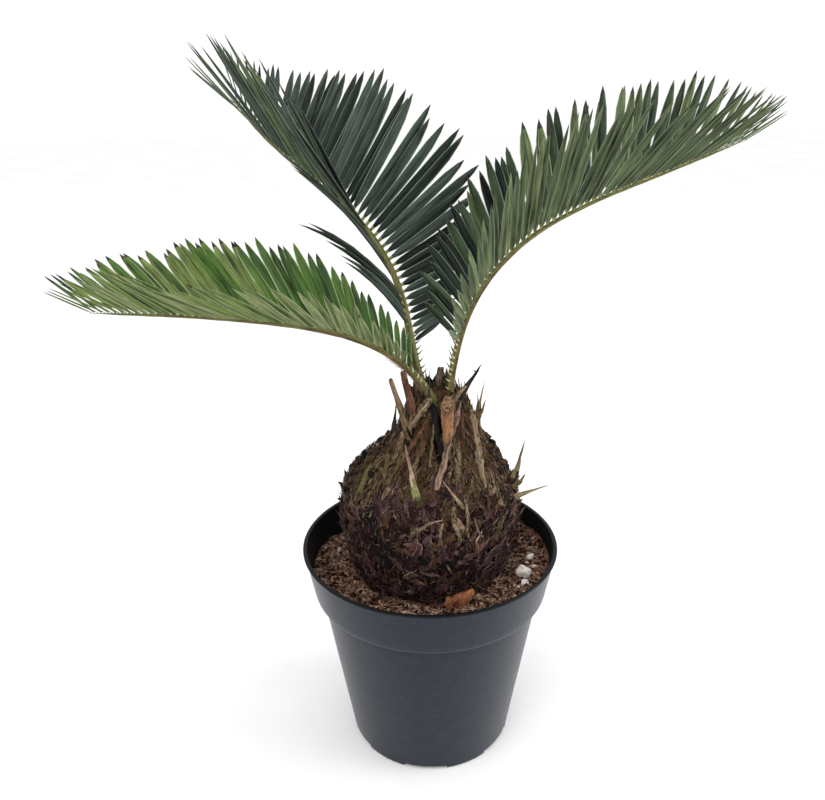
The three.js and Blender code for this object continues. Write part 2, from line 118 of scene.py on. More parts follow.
# A groove by headings and heights along it, and a hole, which the flakes clear a little lower.
# Both are sunk into the trunk, and their darkness is painted shade.
GROOVE = ((-104, 223), (-99, 218), (-95, 212), (-92, 205), (-88, 198), (-85, 191))
HOLE = (-69, 187)
FLAKES_HOLE = (-69, 185)
# Places that follow each other by this angle spread evenly round the trunk
GOLDEN_ANGLE = 137.508

# Fronds. Lists are values spread evenly from foot to tip, joined smoothly. first is where the
# leaflets start, and curl is how much they bend towards the tip.
FRONDS = {
    "left": dict(
        foot=(-0.8, -7.2, 226.2), length=191, first=0.08, curl=0.1,
        rise=(59, 32.3, 14.8, 7.2, 4, 1.5, 0.6), heading=(180, 183, 177.5, 174),
    ),
    "back": dict(
        foot=(-3.9, 6.2, 223.6), length=217, first=0.115, curl=0.08,
        rise=(67, 74.5, 54.5, 34.3, 29, 31, 36), heading=(125, 139, 144, 131.5),
    ),
    "right": dict(
        foot=(10.4, 1.1, 218.2), length=232, first=0.145, curl=0.01,
        rise=(83.5, 72.4, 47.8, 27.6, 19, 18.7, 17.6), heading=(13.7, 13, 11.5, 13),
    ),
}
# The rows of leaflets on the rachis's left, 1, and right, -1. lift is how far they stand up from
# the rachis, forward the angle between the two, and roll how far a leaflet is turned about its own
# length. arch makes the leaflets below the hugging stretch leave the rachis more slowly, and in
# that stretch they lie along it. broad is a leaflet's width over the room that it has, full says
# that it is widest near its tip, loose how unevenly the row lies, and dry the share of the leaflets
# with a dry tip. upper and under are the finishes of the two sides, drawn by lot, and the low ones
# are those near the foot of the frond.
# Where the low finishes are darker than the high ones they paint the shade at the frond's foot. The finishes
# forest, dark and shade are painted shade wherever they are drawn.
ROWS = {
    ("left", 1): dict(
        forward=(66, 66, 67, 61, 54, 49, 42, 32), lift=(13, 32, 42, 38, 32, 36, 58, 64, 61),
        leaflet=(13, 25, 35, 50, 53, 49, 45, 37, 24), roll=(-24, -22),
        broad=1, full=False, loose=1.3, dry=0.1,
        upper="bright", upper_low="bright", under_low="pale", under_high="mid mid pale",
    ),
    ("left", -1): dict(
        forward=(67, 67, 57, 47, 33), lift=(24, 31, 38, 37, 36, 45, 62),
        leaflet=(16, 31, 57, 64, 59, 47, 33), roll=(4, 4),
        broad=1.75, full=True, loose=1, dry=0.7,
        upper="bright bright mid", upper_low="forest forest bright", under_low="pale", under_high="pale",
    ),
    ("back", 1): dict(
        forward=(57, 47, 50, 58, 51, 43, 37, 30, 45), lift=(26, 16, 8, 35, 51, 62, 64, 45, 18),
        leaflet=(10, 43, 77, 78, 70, 74, 76, 61, 32), roll=(35, 38, 40, -20, -50, -55, -55, -50, -40),
        broad=0.95, full=False, loose=1.8, dry=0.4, arch=0.7, hugging=(0.245, 0.43),
        upper="dark blue", upper_low="dark blue", under_low="dark", under_high="olive shade blue",
    ),
    ("back", -1): dict(
        forward=(62, 73, 83, 85, 81, 72, 59, 36, 13), lift=(-28, 11, 38, 54, 63, 49, 36, 28, 19),
        leaflet=(12, 22, 44, 65, 72, 72, 65, 56, 60), roll=(-10, -12),
        broad=1.5, full=True, loose=1, dry=0.6,
        upper="blue blue dark", upper_low="blue blue dark", under_low="shade", under_high="shade",
    ),
    ("right", 1): dict(
        forward=(63, 64, 64, 52, 26), lift=(50, 50, 54, 54, 50, 50, 47),
        leaflet=(6, 30, 47, 58, 65, 59, 35), roll=(4, 4),
        broad=1.5, full=True, loose=1.4, dry=0.7,
        upper="deep deep grey", upper_low="deep dark", under_low="shade", under_high="grey",
    ),
    ("right", -1): dict(
        forward=(73, 72, 66, 66, 63, 55, 42, 25), lift=(38, 34, 41, 52, 59, 47, 44, 43, 46),
        leaflet=(10, 24, 40, 58, 63, 63, 60, 47, 23), roll=(30, 30),
        broad=0.98, full=False, loose=1.3, dry=0.15,
        upper="deep", upper_low="deep", under_low="pale pale grey", under_high="grey olive grey",
    ),
}
RACHIS_STEPS = 360
RACHIS_FOOT_WIDTH = 6.2
RACHIS_TIP_WIDTH = 1.3
LEAFLET_SPACING = 3.9
LEAFLET_WIDTH = 4.8
FULL_LEAFLET_WIDTH = 5.8
HUGGING_WIDTH = 2.1
LEAFLET_CLEARANCE = 2
TOOTH_SPACING = 3.5
FUZZ_HAIRS = 240

# Outlines of blades: the share of the length, and the width there over the widest. Leaflets have
# two widths, for a slender leaflet and for a full one.
LEAFLET_RINGS = np.array([
    (0, 0.3, 0.3), (0.035, 0.34, 0.34), (0.1, 0.74, 0.68), (0.22, 0.94, 0.86), (0.42, 1, 0.96),
    (0.62, 0.93, 1), (0.8, 0.7, 0.88), (0.93, 0.34, 0.48), (1, 0.03, 0.03),
])
FLAKE_RINGS = ((0, 0.8), (0.25, 1), (0.55, 0.85), (0.82, 0.5), (1, 0.1))
BASE_RINGS = ((0, 0.9), (0.2, 1), (0.42, 0.88), (0.62, 0.66), (0.8, 0.42), (0.92, 0.2), (1, 0.05))
STRIP_RINGS = ((0, 0.8), (0.15, 1), (0.35, 0.95), (0.55, 0.75), (0.75, 0.5), (0.9, 0.28), (1, 0.06))
SPIKE_RINGS = (
    (0, 0.8), (0.1, 1.1), (0.2, 1.15), (0.32, 1), (0.45, 0.72), (0.58, 0.5), (0.7, 0.38), (0.82, 0.27),
    (0.92, 0.15), (1, 0.03),
)
# Round a blade's section: how far across it each point lies, and how deep below its upper face
SECTION_ACROSS = np.array((1, 0.82, 0, -0.82, -1, -0.8, 0, 0.8))
SECTION_BELOW = np.array((0, 0, 0, 0, 0, 0.7, 1.3, 0.7))
# The section's faces, and which of them are margins and which lie underneath. On leaflets the
# margins carry a painted highlight.
SECTION_FACES = np.arange(8)
MARGIN_FACES = (0, 3, 4, 7)
UNDER_FACES = (5, 6)

# How deep pieces are sunk below where they leave the trunk
STALK_SUNK = 5
SPIKE_SUNK = 4
SHEATH_SUNK = 6
RACHIS_SUNK = 8
# Cut stalks: foot, tip, width at the foot and at the tip, finish, slope of the cut
CUT_STALKS = {
    "cut_stalk_tan": ((-12.2, -17.2, 209), (-20.5, -19.6, 238), 4.6, 2.2, "tan", 0.25),
    "cut_stalk_red": ((-8.4, -15.4, 216), (-13.9, -15.4, 240.7), 5.4, 3.2, "red", 0.25),
    "cut_stalk_orange": ((9.4, -23.1, 203.4), (9.2, -27.1, 227), 4.8, 7.2, "orange", 0.8),
    "cut_stalk_brown": ((4.2, 2.4, 220), (6.8, 7.4, 235), 4.2, 3.8, "brown", 0.25),
    "cut_stalk_back_left": ((-6, 19, 203), (-8, 23, 214), 5, 4.2, "brown", 0.25),
    "cut_stalk_back_right": ((16, 17, 203), (19, 21, 214), 5.4, 4.6, "brown", 0.25),
}
# Scale leaves and spikes: foot, tip, width, finish at the foot and beyond
SPIKES = {
    "scale_right_broad": ((21, -4, 200), (24, -2, 217), 6, "brown", "tan"),
    "spike_left_dark": ((-19.7, -1.2, 201.8), (-18.2, -3.2, 218.3), 2.8, "dark", "dark"),
    "spike_crown_black": ((-0.1, -14, 224), (0.3, -13.4, 242.5), 1.3, "dark", "dark"),
    "spike_right_long": ((15.4, -8, 221.3), (28.5, -8, 242.2), 3.8, "dark", "dark"),
    "spike_right_thin": ((26.3, 5.1, 200.7), (31.4, 7.1, 226.9), 2.4, "dark", "pale"),
    "spike_front_green": ((-7.5, -42.1, 178.9), (-13.2, -47.1, 213.1), 3.6, "green", "pale"),
    "spike_front_pale": ((16.2, -42, 174.6), (5.2, -48, 193.5), 1.7, "olive", "pale"),
    "spike_side_up": ((46, -12.4, 168.1), (52.4, -12.4, 199), 3.6, "dark", "olive"),
    "spike_side_flat": ((45.6, -16.7, 165.3), (66.6, -14.7, 172.2), 2.8, "olive", "olive"),
    "spike_back_up": ((-14, 30, 190), (-18, 38, 203), 3, "stalk", "stalk"),
}
# A barb on the long dark spike, and ragged husks at the feet of others and up the neck's edges:
# where each starts, its way, its length, its width and which of the finishes it has
HUSK_FINISHES = ("dark", "stalk", "brown")
HUSKS = np.array([
    (25.8, -8.2, 237.2, -0.9, 0, 0.5, 3.4, 1.2, 0), (27.5, 4, 203, 0.35, 0, 1, 15, 2.6, 1),
    (28.6, 5, 205, 0.1, -0.1, 1, 11, 2.4, 1), (47, -13.5, 168, 0.25, -0.2, 1, 12, 3.2, 1),
    (49, -12.5, 171, 0.6, 0, 1, 9, 2.6, 1), (26, -4, 194, 0.02, 0, 1, 24, 4.6, 1),
    (27.8, 0, 192, -0.03, 0, 1, 30, 4, 1), (23.5, -8, 197, 0.08, 0.1, 1, 19, 4, 2),
    (26.8, -6, 190, 0.03, 0.05, 1, 18, 3.6, 2), (-15.5, -12, 197, -0.05, 0.1, 1, 13, 3.4, 0),
    (-17.5, -8, 195, -0.1, 0.1, 1, 13, 3, 0),
])
# Long dry sheaths on the trunk: width, finish, how far each stands off towards the camera, and the
# headings and heights along it
SHEATHS = (
    (4.2, "tan", 7.5, (
        (-108, 224.5), (-121, 220), (-134, 214), (-145, 207), (-150, 201), (-146, 195), (-141, 191),
    )),
    (1, "light", 9.5, ((-110, 223), (-123, 218.5), (-136, 212), (-146, 205), (-150, 199))),
    (3, "olive", 2.2, ((-162, 197), (-159, 193), (-148, 190), (-137, 186))),
    (1.2, "tan", 2.5, ((-160, 187), (-156, 190), (-151, 192))),
    (3.4, "pink", 4.2, (
        (-88, 183), (-86, 191), (-81, 198), (-73, 204), (-64, 210), (-53, 216), (-37, 221),
    )),
    (0.9, "light", 6, ((-86, 189), (-80, 198), (-71, 205), (-61, 211), (-48, 217))),
    (5.2, "tan", 3.4, (
        (-10, 214), (-18, 210), (-27, 204), (-34, 198), (-41, 193), (-44, 188), (-46, 179),
    )),
    (1, "light", 5.4, ((-14, 211), (-24, 205), (-32, 199), (-38, 194), (-42, 189))),
    (3.2, "brown", 2.4, ((-154, 199), (-163, 194), (-167, 189), (-171, 183))),
    (3.2, "brown", 2.6, ((-44, 216), (-36, 208), (-30, 201), (-32, 193))),
    (2.6, "brown", 2.2, ((-56, 202), (-50, 210), (-40, 217))),
    (2.6, "tan", 2.2, ((-75, 175), (-76, 168), (-73, 160), (-74, 155))),
    (1.8, "tan", 2.2, ((-66, 178), (-66, 170), (-68, 162), (-66, 156))),
    (1.2, "pink", 2.4, ((-62, 168), (-60, 160), (-56, 154))),
    (0.8, "light", 2.4, ((-58, 160), (-62, 155), (-60, 149))),
    (2.2, "olive", 2, ((-38, 162), (-44, 156), (-48, 151))),
    (1.1, "pink", 3, ((-83, 169), (-90, 168.5), (-97, 165), (-99, 159), (-96, 156), (-97, 150))),
    (1, "tan", 2.5, ((-83, 168), (-85, 163), (-84, 159))),
    (1.8, "brown", 2, ((-88, 158), (-90, 153), (-88, 149))),
    (3.2, "green", 2.2, ((-149, 173), (-151, 178), (-155, 182), (-162, 186))),
    (2.4, "olive", 1.8, ((-129, 182), (-131, 190), (-133, 197))),
    (2.6, "brown", 2, ((-112, 196), (-111, 206), (-107, 215))),
    (1.8, "olive", 1.6, ((-100, 192), (-100, 203), (-99, 212))),
    # The black sheath along the groove is a dark sheet of painted shade
    (3.6, "black", 1.2, ((-103, 222), (-98, 216), (-94, 209), (-90, 202), (-86, 194))),
    (1.4, "tan", 2.4, ((-16, 168), (-20, 160), (-24, 150))),
    (1.1, "pink", 2.6, ((-8, 160), (-14, 151), (-18, 142))),
)
# Loose fibres: how many, and the heights between which they start
FIBRES = {"caudex_fibres_low": (3800, 114, 172), "caudex_fibres_high": (5200, 166, 220)}
# What the trunk's finishes are drawn from, and their chances: low down, in the middle, at the neck
ZONES = (
    {"plum": 0.42, "black": 0.25, "red": 0.1, "brown": 0.17, "tan": 0.06},
    {"tan": 0.3, "olive": 0.3, "brown": 0.28, "plum": 0.08, "black": 0.04},
    {"brown": 0.38, "black": 0.2, "tan": 0.26, "olive": 0.16},
)
# Where one finish takes over a patch of the trunk: heading, height, radius in mm, finish. The black
# patch on the hole is painted shade.
PATCHES = (
    (-57, 184, 5, "red"), (-118, 130, 7, "red"), (-88, 156, 4, "orange"), (-101, 152, 4, "red"),
    (-147, 160, 4, "red"), (-126, 187, 5, "brown"), (-122, 173, 9, "plum"), (-95, 172, 10, "plum"),
    (-131, 153, 11, "black"), (-120, 143, 9, "black"), (-69, 187, 5, "black"), (-82, 178, 5, "black"),
    (-40, 130, 10, "plum"), (-138, 195, 3, "orange"), (-62, 148, 5, "red"), (-113, 191, 5, "red"),
    (-58, 204, 5, "red"), (-66, 165, 4, "black"), (-112, 202, 7, "olive"), (-150, 183, 6, "olive"),
    (-40, 176, 6, "tan"),
)

# Finishes: dark and light colour, patch, grain, roughness, relief, stretch, ior, contrast
FINISHES = {
    "pale_paper": ("#f4f4f4", "#fafafa", 200, 40, 0.9, 0.01, None, 1.5, 0.5),
    # Injection-moulded polypropylene: a dull satin that is almost black face on and pale where it
    # is seen edge on, with a faint mottle
    "moulded_polypropylene": ("#080b11", "#191e28", 4, 0.7, 0.33, 0.12, None, 1.42, 1.5),
    # The same plastic, darker and less glossy, paints the shade on the lip's top and the whole inside
    "polypropylene_rim_and_inside_painted_shade": ("#05070b", "#0c0f15", 8, 1, 0.5, 0.05, None, 1.25, 0.5),
    # Peat with coir: dark crumbs in lighter, redder fibre
    "peat_and_coir": ("#120a08", "#7a5746", 6, 0.9, 0.95, 0.6, None, 1.2, 1.3),
    "peat_crumb_dark": ("#150b08", "#3d241a", 3, 0.7, 0.95, 0.4, None, 1.2, 0.5),
    "peat_crumb_light": ("#6a4b39", "#d9b497", 3, 0.7, 0.95, 0.4, None, 1.2, 0.5),
    "coir_fibre": ("#5d4434", "#d8b79e", 6, 0.8, 0.85, 0.1, 8, 1.2, 0.5),
    "expanded_perlite": ("#c4b6ac", "#fbf6f1", 3, 0.5, 0.9, 0.35, None, 1.5, 0.5),
    "pine_bark_chip": ("#3a1c10", "#b57a52", 4.5, 0.7, 0.9, 0.5, None, 1.2, 0.8),
    # The caudex: shrivelled leaf bases, plum and nearly black below, tan felt above. The dark cork and
    # the black finish also paint the shade in the groove and the hole.
    "caudex_dark_cork_and_painted_shade": ("#0a0607", "#331f1c", 6, 0.9, 0.95, 0.8, None, 1.15, 1.1),
    "caudex_felt": ("#120c08", "#5a4530", 6, 0.9, 0.95, 0.8, None, 1.15, 1.1),
    "leaf_base_plum": ("#160b0c", "#5d4346", 5, 0.8, 0.75, 0.4, 4, 1.25, 1),
    "leaf_base_red": ("#24120f", "#6f4d43", 4, 0.8, 0.8, 0.4, 4, 1.2, 1),
    "black_leaf_base_and_painted_shade": ("#060506", "#1f1b1d", 5, 0.8, 0.75, 0.4, 4, 1.2, 1),
    "leaf_base_brown": ("#1a100b", "#5a412e", 5, 0.7, 0.9, 0.4, 5, 1.2, 1),
    "leaf_base_olive": ("#241c10", "#716243", 6, 0.6, 0.9, 0.4, 6, 1.2, 1),
    "leaf_base_felt": ("#221910", "#947f66", 5, 0.6, 0.9, 0.4, 2.5, 1.2, 1.2),
    "loose_fibre_pale": ("#5e4b3b", "#ab957f", 6, 0.6, 0.9, 0.3, 7, 1.2, 0.5),
    "leaf_base_pinkish": ("#261a15", "#8f7567", 5, 0.6, 0.9, 0.3, 2.5, 1.2, 1.2),
    "leaf_base_orange": ("#3a2213", "#8c6145", 5, 0.6, 0.9, 0.3, 5, 1.2, 0.8),
    "leaf_base_green": ("#23220f", "#757047", 5, 0.6, 0.8, 0.3, 3, 1.2, 1.1),
    # Dry stalks and spikes, each in the colour that the photograph shows
    "dry_stalk_tan": ("#1e1610", "#8c7657", 2.5, 0.5, 0.85, 0.3, 4, 1.2, 1.1),
    "dry_stalk_red": ("#160b08", "#775342", 2.2, 0.5, 0.8, 0.3, 3, 1.2, 1.1),
    "dry_stalk_orange": ("#422a1a", "#98704f", 3.5, 0.5, 0.8, 0.3, 3, 1.2, 0.7),
    "dry_stalk_brown": ("#1c1610", "#7f705c", 2.2, 0.5, 0.85, 0.3, 3, 1.2, 1.1),
    "cut_pith": ("#120b07", "#a07f5c", 1.2, 0.4, 0.9, 0.3, None, 1.2, 1),
    "dry_spike_dark": ("#0e0b0a", "#473b37", 3, 0.5, 0.75, 0.2, 6, 1.2, 0.9),
    "live_spike_olive": ("#262013", "#8a7d5a", 5, 0.6, 0.7, 0.15, 6, 1.3, 0.8),
    "live_spike_green": ("#2a2b17", "#8b8c58", 2.5, 0.6, 0.6, 0.15, 4, 1.25, 1),
    "live_spike_pale": ("#4d392c", "#c0a38b", 2.5, 0.6, 0.7, 0.15, 5, 1.25, 1),
    # The leaflets' dry dark tips and yellow feet, and the painted highlight on their thin margins,
    # dimmer on darker leaflets
    "leaflet_dry_tip": ("#171812", "#4b473c", 4, 0.8, 0.7, 0.1, 10, 1.25, 0.5),
    "leaflet_yellow_foot": ("#4d5529", "#96995f", 6, 0.8, 0.6, 0.1, 10, 1.3, 0.5),
    "leaflet_margin_painted_highlight": ("#6c7a4e", "#aab58d", 8, 0.8, 0.6, 0.1, 10, 1.3, 0.5),
    "leaflet_margin_dim_painted_highlight": ("#39453a", "#7c8878", 8, 0.8, 0.6, 0.1, 10, 1.3, 0.5),
    # The rachis, waxy green with a duller back, its felted foot and its sharp teeth
    "rachis_green": ("#24290f", "#7b7643", 3, 0.6, 0.55, 0.12, 6, 1.3, 1),
    "rachis_olive_back": ("#2a2210", "#7c6c46", 3, 0.6, 0.6, 0.12, 6, 1.25, 1),
    "rachis_tan_fuzz": ("#7a6146", "#b79c7c", 7, 0.9, 0.9, 0.12, 10, 1.2, 0.5),
    "tooth_dark": ("#1f2a14", "#414d2d", 3, 0.6, 0.6, 0.05, None, 1.3, 0.5),
    "tooth_pale": ("#8f8b5c", "#d6cfa6", 3, 0.6, 0.6, 0.05, None, 1.3, 0.5),
}
# Stiff leathery leaflets, matt and paler below: dark and light colour, roughness, ior. A darker copy
# of the bright green, a near-black green and a dark underside are painted shade.
LEAFLET_FACES = {
    "bright_green": ("#0f2005", "#587b30", 0.5, 1.3), "green_in_painted_shade": ("#0b1905", "#44672a", 0.5, 1.3),
    "yellow_green": ("#2a3b15", "#788a48", 0.55, 1.3), "olive_green": ("#141d0d", "#68764f", 0.55, 1.25),
    "blue_green": ("#080d0a", "#455349", 0.5, 1.25), "near_black_painted_shade": ("#040605", "#2b362d", 0.5, 1.2),
    "deep_green": ("#090f07", "#3e5035", 0.5, 1.25), "grey_green": ("#1b2611", "#65724c", 0.55, 1.25),
    "pale_underside": ("#303c1b", "#8a9566", 0.65, 1.25),
    "underside_painted_shade": ("#141c15", "#4d5a44", 0.65, 1.25),
}
for name, (dark, light, roughness, ior) in LEAFLET_FACES.items():
    FINISHES["leaflet_" + name] = (dark, light, 3.5, 0.7, roughness, 0.08, 16, ior, 0.9)
# What the pot's sheen is tinted by
POT_SHEEN = "#cfd9f2"
# Noise below the first is plain dark and noise above the second plain light
DARK_END = 0.38
LIGHT_END = 0.62

SLOT = {name: place for place, name in enumerate(FINISHES)}


def slots_of(**names):
    """The places of finishes in the list, by the short names that the tables above use."""
    return {short: SLOT[name] for short, name in names.items()}


DRESS = slots_of(
    plum="leaf_base_plum", red="leaf_base_red", black="black_leaf_base_and_painted_shade", brown="leaf_base_brown",
    olive="leaf_base_olive", tan="leaf_base_felt", light="loose_fibre_pale", pink="leaf_base_pinkish",
    orange="leaf_base_orange", green="leaf_base_green",
)
LEAF = slots_of(
    bright="leaflet_bright_green", forest="leaflet_green_in_painted_shade", mid="leaflet_yellow_green",
    pale="leaflet_pale_underside", blue="leaflet_blue_green", dark="leaflet_near_black_painted_shade",
    olive="leaflet_olive_green", deep="leaflet_deep_green", grey="leaflet_grey_green",
    shade="leaflet_underside_painted_shade", tip="leaflet_dry_tip", foot="leaflet_yellow_foot",
    margin="leaflet_margin_painted_highlight", dim_margin="leaflet_margin_dim_painted_highlight",
)
SPIKE = slots_of(
    dark="dry_spike_dark", olive="live_spike_olive", green="live_spike_green", pale="live_spike_pale",
    brown="leaf_base_brown", tan="leaf_base_felt", stalk="dry_stalk_tan",
)


def linear(hex_colour):
    """An sRGB hex colour as the linear numbers that shaders take."""
    parts = [int(hex_colour[k:k + 2], 16) / 255 for k in (1, 3, 5)]
    return (*(c / 12.92 if c <= 0.04045 else ((c + 0.055) / 1.055) ** 2.4 for c in parts), 1)


def add(tree, kind, output, inputs=None, **settings):
    """Adds a node and gives one of its outputs. Settings are its properties, and inputs its
    sockets' values or what feeds them."""
    made = tree.nodes.new("ShaderNode" + kind)
    for name, value in settings.items():
        setattr(made, name, value)
    for socket, value in (inputs or {}).items():
        if isinstance(value, bpy.types.NodeSocket):
            tree.links.new(value, made.inputs[socket])
        else:
            made.inputs[socket].default_value = value
    return made.outputs[output]


def finish(name, dark, light, patch, grain, roughness, relief, stretch, ior, contrast):
    """A natural surface that drifts between a dark and a light colour in patches, with a finer
    grain over it that also gives its relief. patch, grain and relief are in millimetres. stretch
    draws both out along the piece's own map, as fibres are, and without it they fill space."""
    material = bpy.data.materials.new(name)
    material.use_nodes = True
    tree = material.node_tree
    if stretch:
        place = add(tree, "UVMap", "UV", uv_map="UVMap")
    else:
        place = add(tree, "TexCoord", "Object")
    scale = (1, 1 / (stretch or 1), 1)
    place = add(tree, "Mapping", "Vector", {"Vector": place, "Scale": scale})
    wide = add(tree, "TexNoise", "Fac", {"Vector": place, "Scale": 1000 / patch, "Detail": 3.0})
    fine = add(tree, "TexNoise", "Fac", {"Vector": place, "Scale": 1000 / grain, "Detail": 4.0})
    weighed = add(tree, "Math", "Value", {0: fine, 1: contrast}, operation="MULTIPLY")
    share = add(tree, "MapRange", "Result", {
        "Value": add(tree, "Math", "Value", {0: wide, 1: weighed}, operation="ADD"),
        "From Min": DARK_END + DARK_END * contrast, "From Max": LIGHT_END + LIGHT_END * contrast,
    })
    colours = {"Factor": share, 6: linear(dark), 7: linear(light)}
    feeds = {
        "Base Color": add(tree, "Mix", 2, colours, data_type="RGBA"),
        "Roughness": add(tree, "MapRange", "Result", {
            "Value": fine, "To Min": roughness - 0.1, "To Max": roughness + 0.1,
        }),
        "Normal": add(tree, "Bump", "Normal", {
            "Height": fine, "Distance": relief / 1000, "Strength": 1.0,
        }),
    }
    shader = tree.nodes["Principled BSDF"]
    shader.inputs["IOR"].default_value = ior
    for socket, source in feeds.items():
        tree.links.new(source, shader.inputs[socket])
    return material


MATERIALS = [finish(name, *row) for name, row in FINISHES.items()]


def curve(values, share):
    """The value at a share from 0 to 1 on a smooth curve through evenly spread values. Each stretch
    leaves and meets its ends at half the step between the values on both sides."""
    values = np.asarray(values, float)
    last = len(values) - 1
    x = np.clip(share, 0, 1) * last
    i = np.minimum(np.floor(x).astype(int), last - 1)
    t = x - i
    a, b, c, d = (values[np.clip(i + k, 0, last)] for k in (-1, 0, 1, 2))
    return b + 0.5 * t * (c - a + t * (2 * a - 5 * b + 4 * c - d + t * (3 * (b - c) + d - a)))


def smooth(x, low, high):
    """0 below low, 1 above high, and an S between them."""
    t = np.clip((x - low) / (high - low), 0, 1)
    return t * t * (3 - 2 * t)


def unit(vectors):
    """The vectors divided by their lengths."""
    return vectors / np.linalg.norm(vectors, axis=-1, keepdims=True)


def column(values):
    """A number for each vector, ready to multiply the vectors."""
    return np.asarray(values, float)[..., None]


def circle(sides, whole=2 * np.pi):
    """Angles spread evenly round a circle, in radians unless the whole is 360."""
    return np.linspace(0, whole, sides, endpoint=False)


def direction(heading, rise=0):
    """Unit vectors along a heading and a rise, both in degrees."""
    heading, rise = np.broadcast_arrays(np.radians(heading), np.radians(rise))
    flat = np.cos(rise)
    return np.stack((flat * np.cos(heading), flat * np.sin(heading), np.sin(rise)), -1)


LATTICE_SIDE = 32
LATTICE = np.random.default_rng(7).random((LATTICE_SIDE,) * 3) * 2 - 1


def bumps(points, size):
    """Smooth random values from -1 to 1 in space: values at the corners of cubes of that size,
    blended along each axis by an S."""
    place = np.asarray(points, float) / size
    cell = np.floor(place).astype(int)
    t = smooth(place - cell, 0, 1)
    total = 0
    for corner in product((0, 1), repeat=3):
        index = (cell + corner) % LATTICE_SIDE
        weight = np.where(corner, t, 1 - t).prod(-1)
        total = total + weight * LATTICE[index[..., 0], index[..., 1], index[..., 2]]
    return total


def rough(points, size, layers):
    """Bumps on bumps: each layer is half as wide and half as strong as the one before."""
    return sum(bumps(points + 9.7 * k, size / 2**k) / 2**k for k in range(layers))


def crumpled(points, size, amount):
    """The points, each moved by bumps of that size in all three directions."""
    return points + amount * np.stack([bumps(points + 13.3 * k, size) for k in range(3)], -1)


def swept(points, slots, girth=10, length=10):
    """Skins round rings of points, given as [shape, ring, place on the ring, xyz]. Quads join
    neighbouring rings and a flat face closes each end. The map runs round the ring and along the
    shape in metres, from a random start on each shape, and slots are the quads' finishes."""
    count, rings, sides = points.shape[:3]
    shape, ring, side = np.meshgrid(
        np.arange(count), np.arange(rings - 1), np.arange(sides), indexing="ij"
    )
    at_ring = ring[..., None] + np.array((0, 0, 1, 1))
    at_side = side[..., None] + np.array((0, 1, 1, 0))
    quads = (shape[..., None] * rings + at_ring) * sides + at_side % sides
    start = random((count, 2))
    girths = np.broadcast_to(girth, count) / 1000
    lengths = np.broadcast_to(length, count) / 1000
    u = start[:, None, None, None, 0] + at_side / sides * girths[:, None, None, None]
    v = start[:, None, None, None, 1] + at_ring / (rings - 1) * lengths[:, None, None, None]
    slots = np.broadcast_to(slots, (count, rings - 1, sides))
    places = np.arange(count * rings * sides).reshape(count, rings, sides)
    cap_map = np.repeat(start[:, None, :], sides, 1)
    cap_map[..., 0] += np.arange(sides) / sides * girths[:, None]
    faces = [quads.reshape(-1, 4), places[:, 0, ::-1], places[:, -1]]
    maps = [np.stack((u, v), -1).reshape(-1, 4, 2), cap_map[:, ::-1], cap_map]
    a, b, c, d = (points.reshape(-1, 3)[faces[0][:, k]] for k in range(4))
    centre = points.mean((0, 1, 2))
    volume = np.einsum("ij,ij->i", np.cross(b - a, c - a) + np.cross(c - a, d - a), a - centre).sum()
    if volume < 0:
        faces = [face[:, ::-1] for face in faces]
        maps = [each[:, ::-1] for each in maps]
    face_slots = [slots.reshape(-1), slots[:, 0, 0], slots[:, -1, 0]]
    return dict(points=points.reshape(-1, 3), faces=faces, maps=maps, slots=face_slots)


def piece(name, shapes, nodes=(), sharp=50):
    """One mesh of several shapes, with the finishes that its faces use. It rides on the plant, and
    stands for the nodes. Edges sharper than that many degrees stay crisp."""
    points = np.concatenate([shape["points"] for shape in shapes])
    starts = np.cumsum([0] + [len(shape["points"]) for shape in shapes])
    faces = [face + start for start, shape in zip(starts, shapes) for face in shape["faces"]]
    corners = np.concatenate([face.ravel() for face in faces])
    sizes = np.concatenate([np.full(len(face), face.shape[1]) for face in faces])
    slots = np.concatenate([slot for shape in shapes for slot in shape["slots"]])
    used, slots = np.unique(slots, return_inverse=True)
    maps = np.concatenate([each.reshape(-1, 2) for shape in shapes for each in shape["maps"]])
    mesh = bpy.data.meshes.new(name)
    mesh.vertices.add(len(points))
    mesh.vertices.foreach_set("co", (points / 1000).astype(np.float32).ravel())
    mesh.loops.add(len(corners))
    mesh.loops.foreach_set("vertex_index", corners.astype(np.int32))
    mesh.polygons.add(len(sizes))
    mesh.polygons.foreach_set("loop_start", (np.cumsum(sizes) - sizes).astype(np.int32))
    mesh.polygons.foreach_set("material_index", slots.astype(np.int32))
    mesh.uv_layers.new(name="UVMap").data.foreach_set("uv", maps.astype(np.float32).ravel())
    mesh.update(calc_edges=True)
    mesh.shade_smooth()
    mesh.set_sharp_from_angle(angle=math.radians(sharp))
    for slot in used:
        mesh.materials.append(MATERIALS[slot])
    made = bpy.data.objects.new(name, mesh)
    bpy.context.scene.collection.objects.link(made)
    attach(made, "root")
    if nodes:
        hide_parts(*nodes)


def bent(root, way, bend, length, s):
    """Points on bent lines, given as [line, place, xyz]. At the share s of its length a line is at
    root + way * length * s + bend * s squared."""
    return root[:, None] + way[:, None] * (column(length) * s)[..., None] + bend[:, None] * column(s**2)


def bladed(middle, across, face, half, cup, thick):
    """Rings round the middles of blades, given as [blade, ring, xyz] with the half width and the
    thickness of each ring. The two halves slope away from the face at the midrib, by cup times how
    far out a point lies to the power 1.3."""
    out = half[..., None] * SECTION_ACROSS
    deep = (half * column(cup))[..., None] * np.abs(SECTION_ACROSS) ** 1.3 + column(thick) * SECTION_BELOW
    return middle[:, :, None] + across[:, :, None] * out[..., None] - face[:, :, None] * deep[..., None]


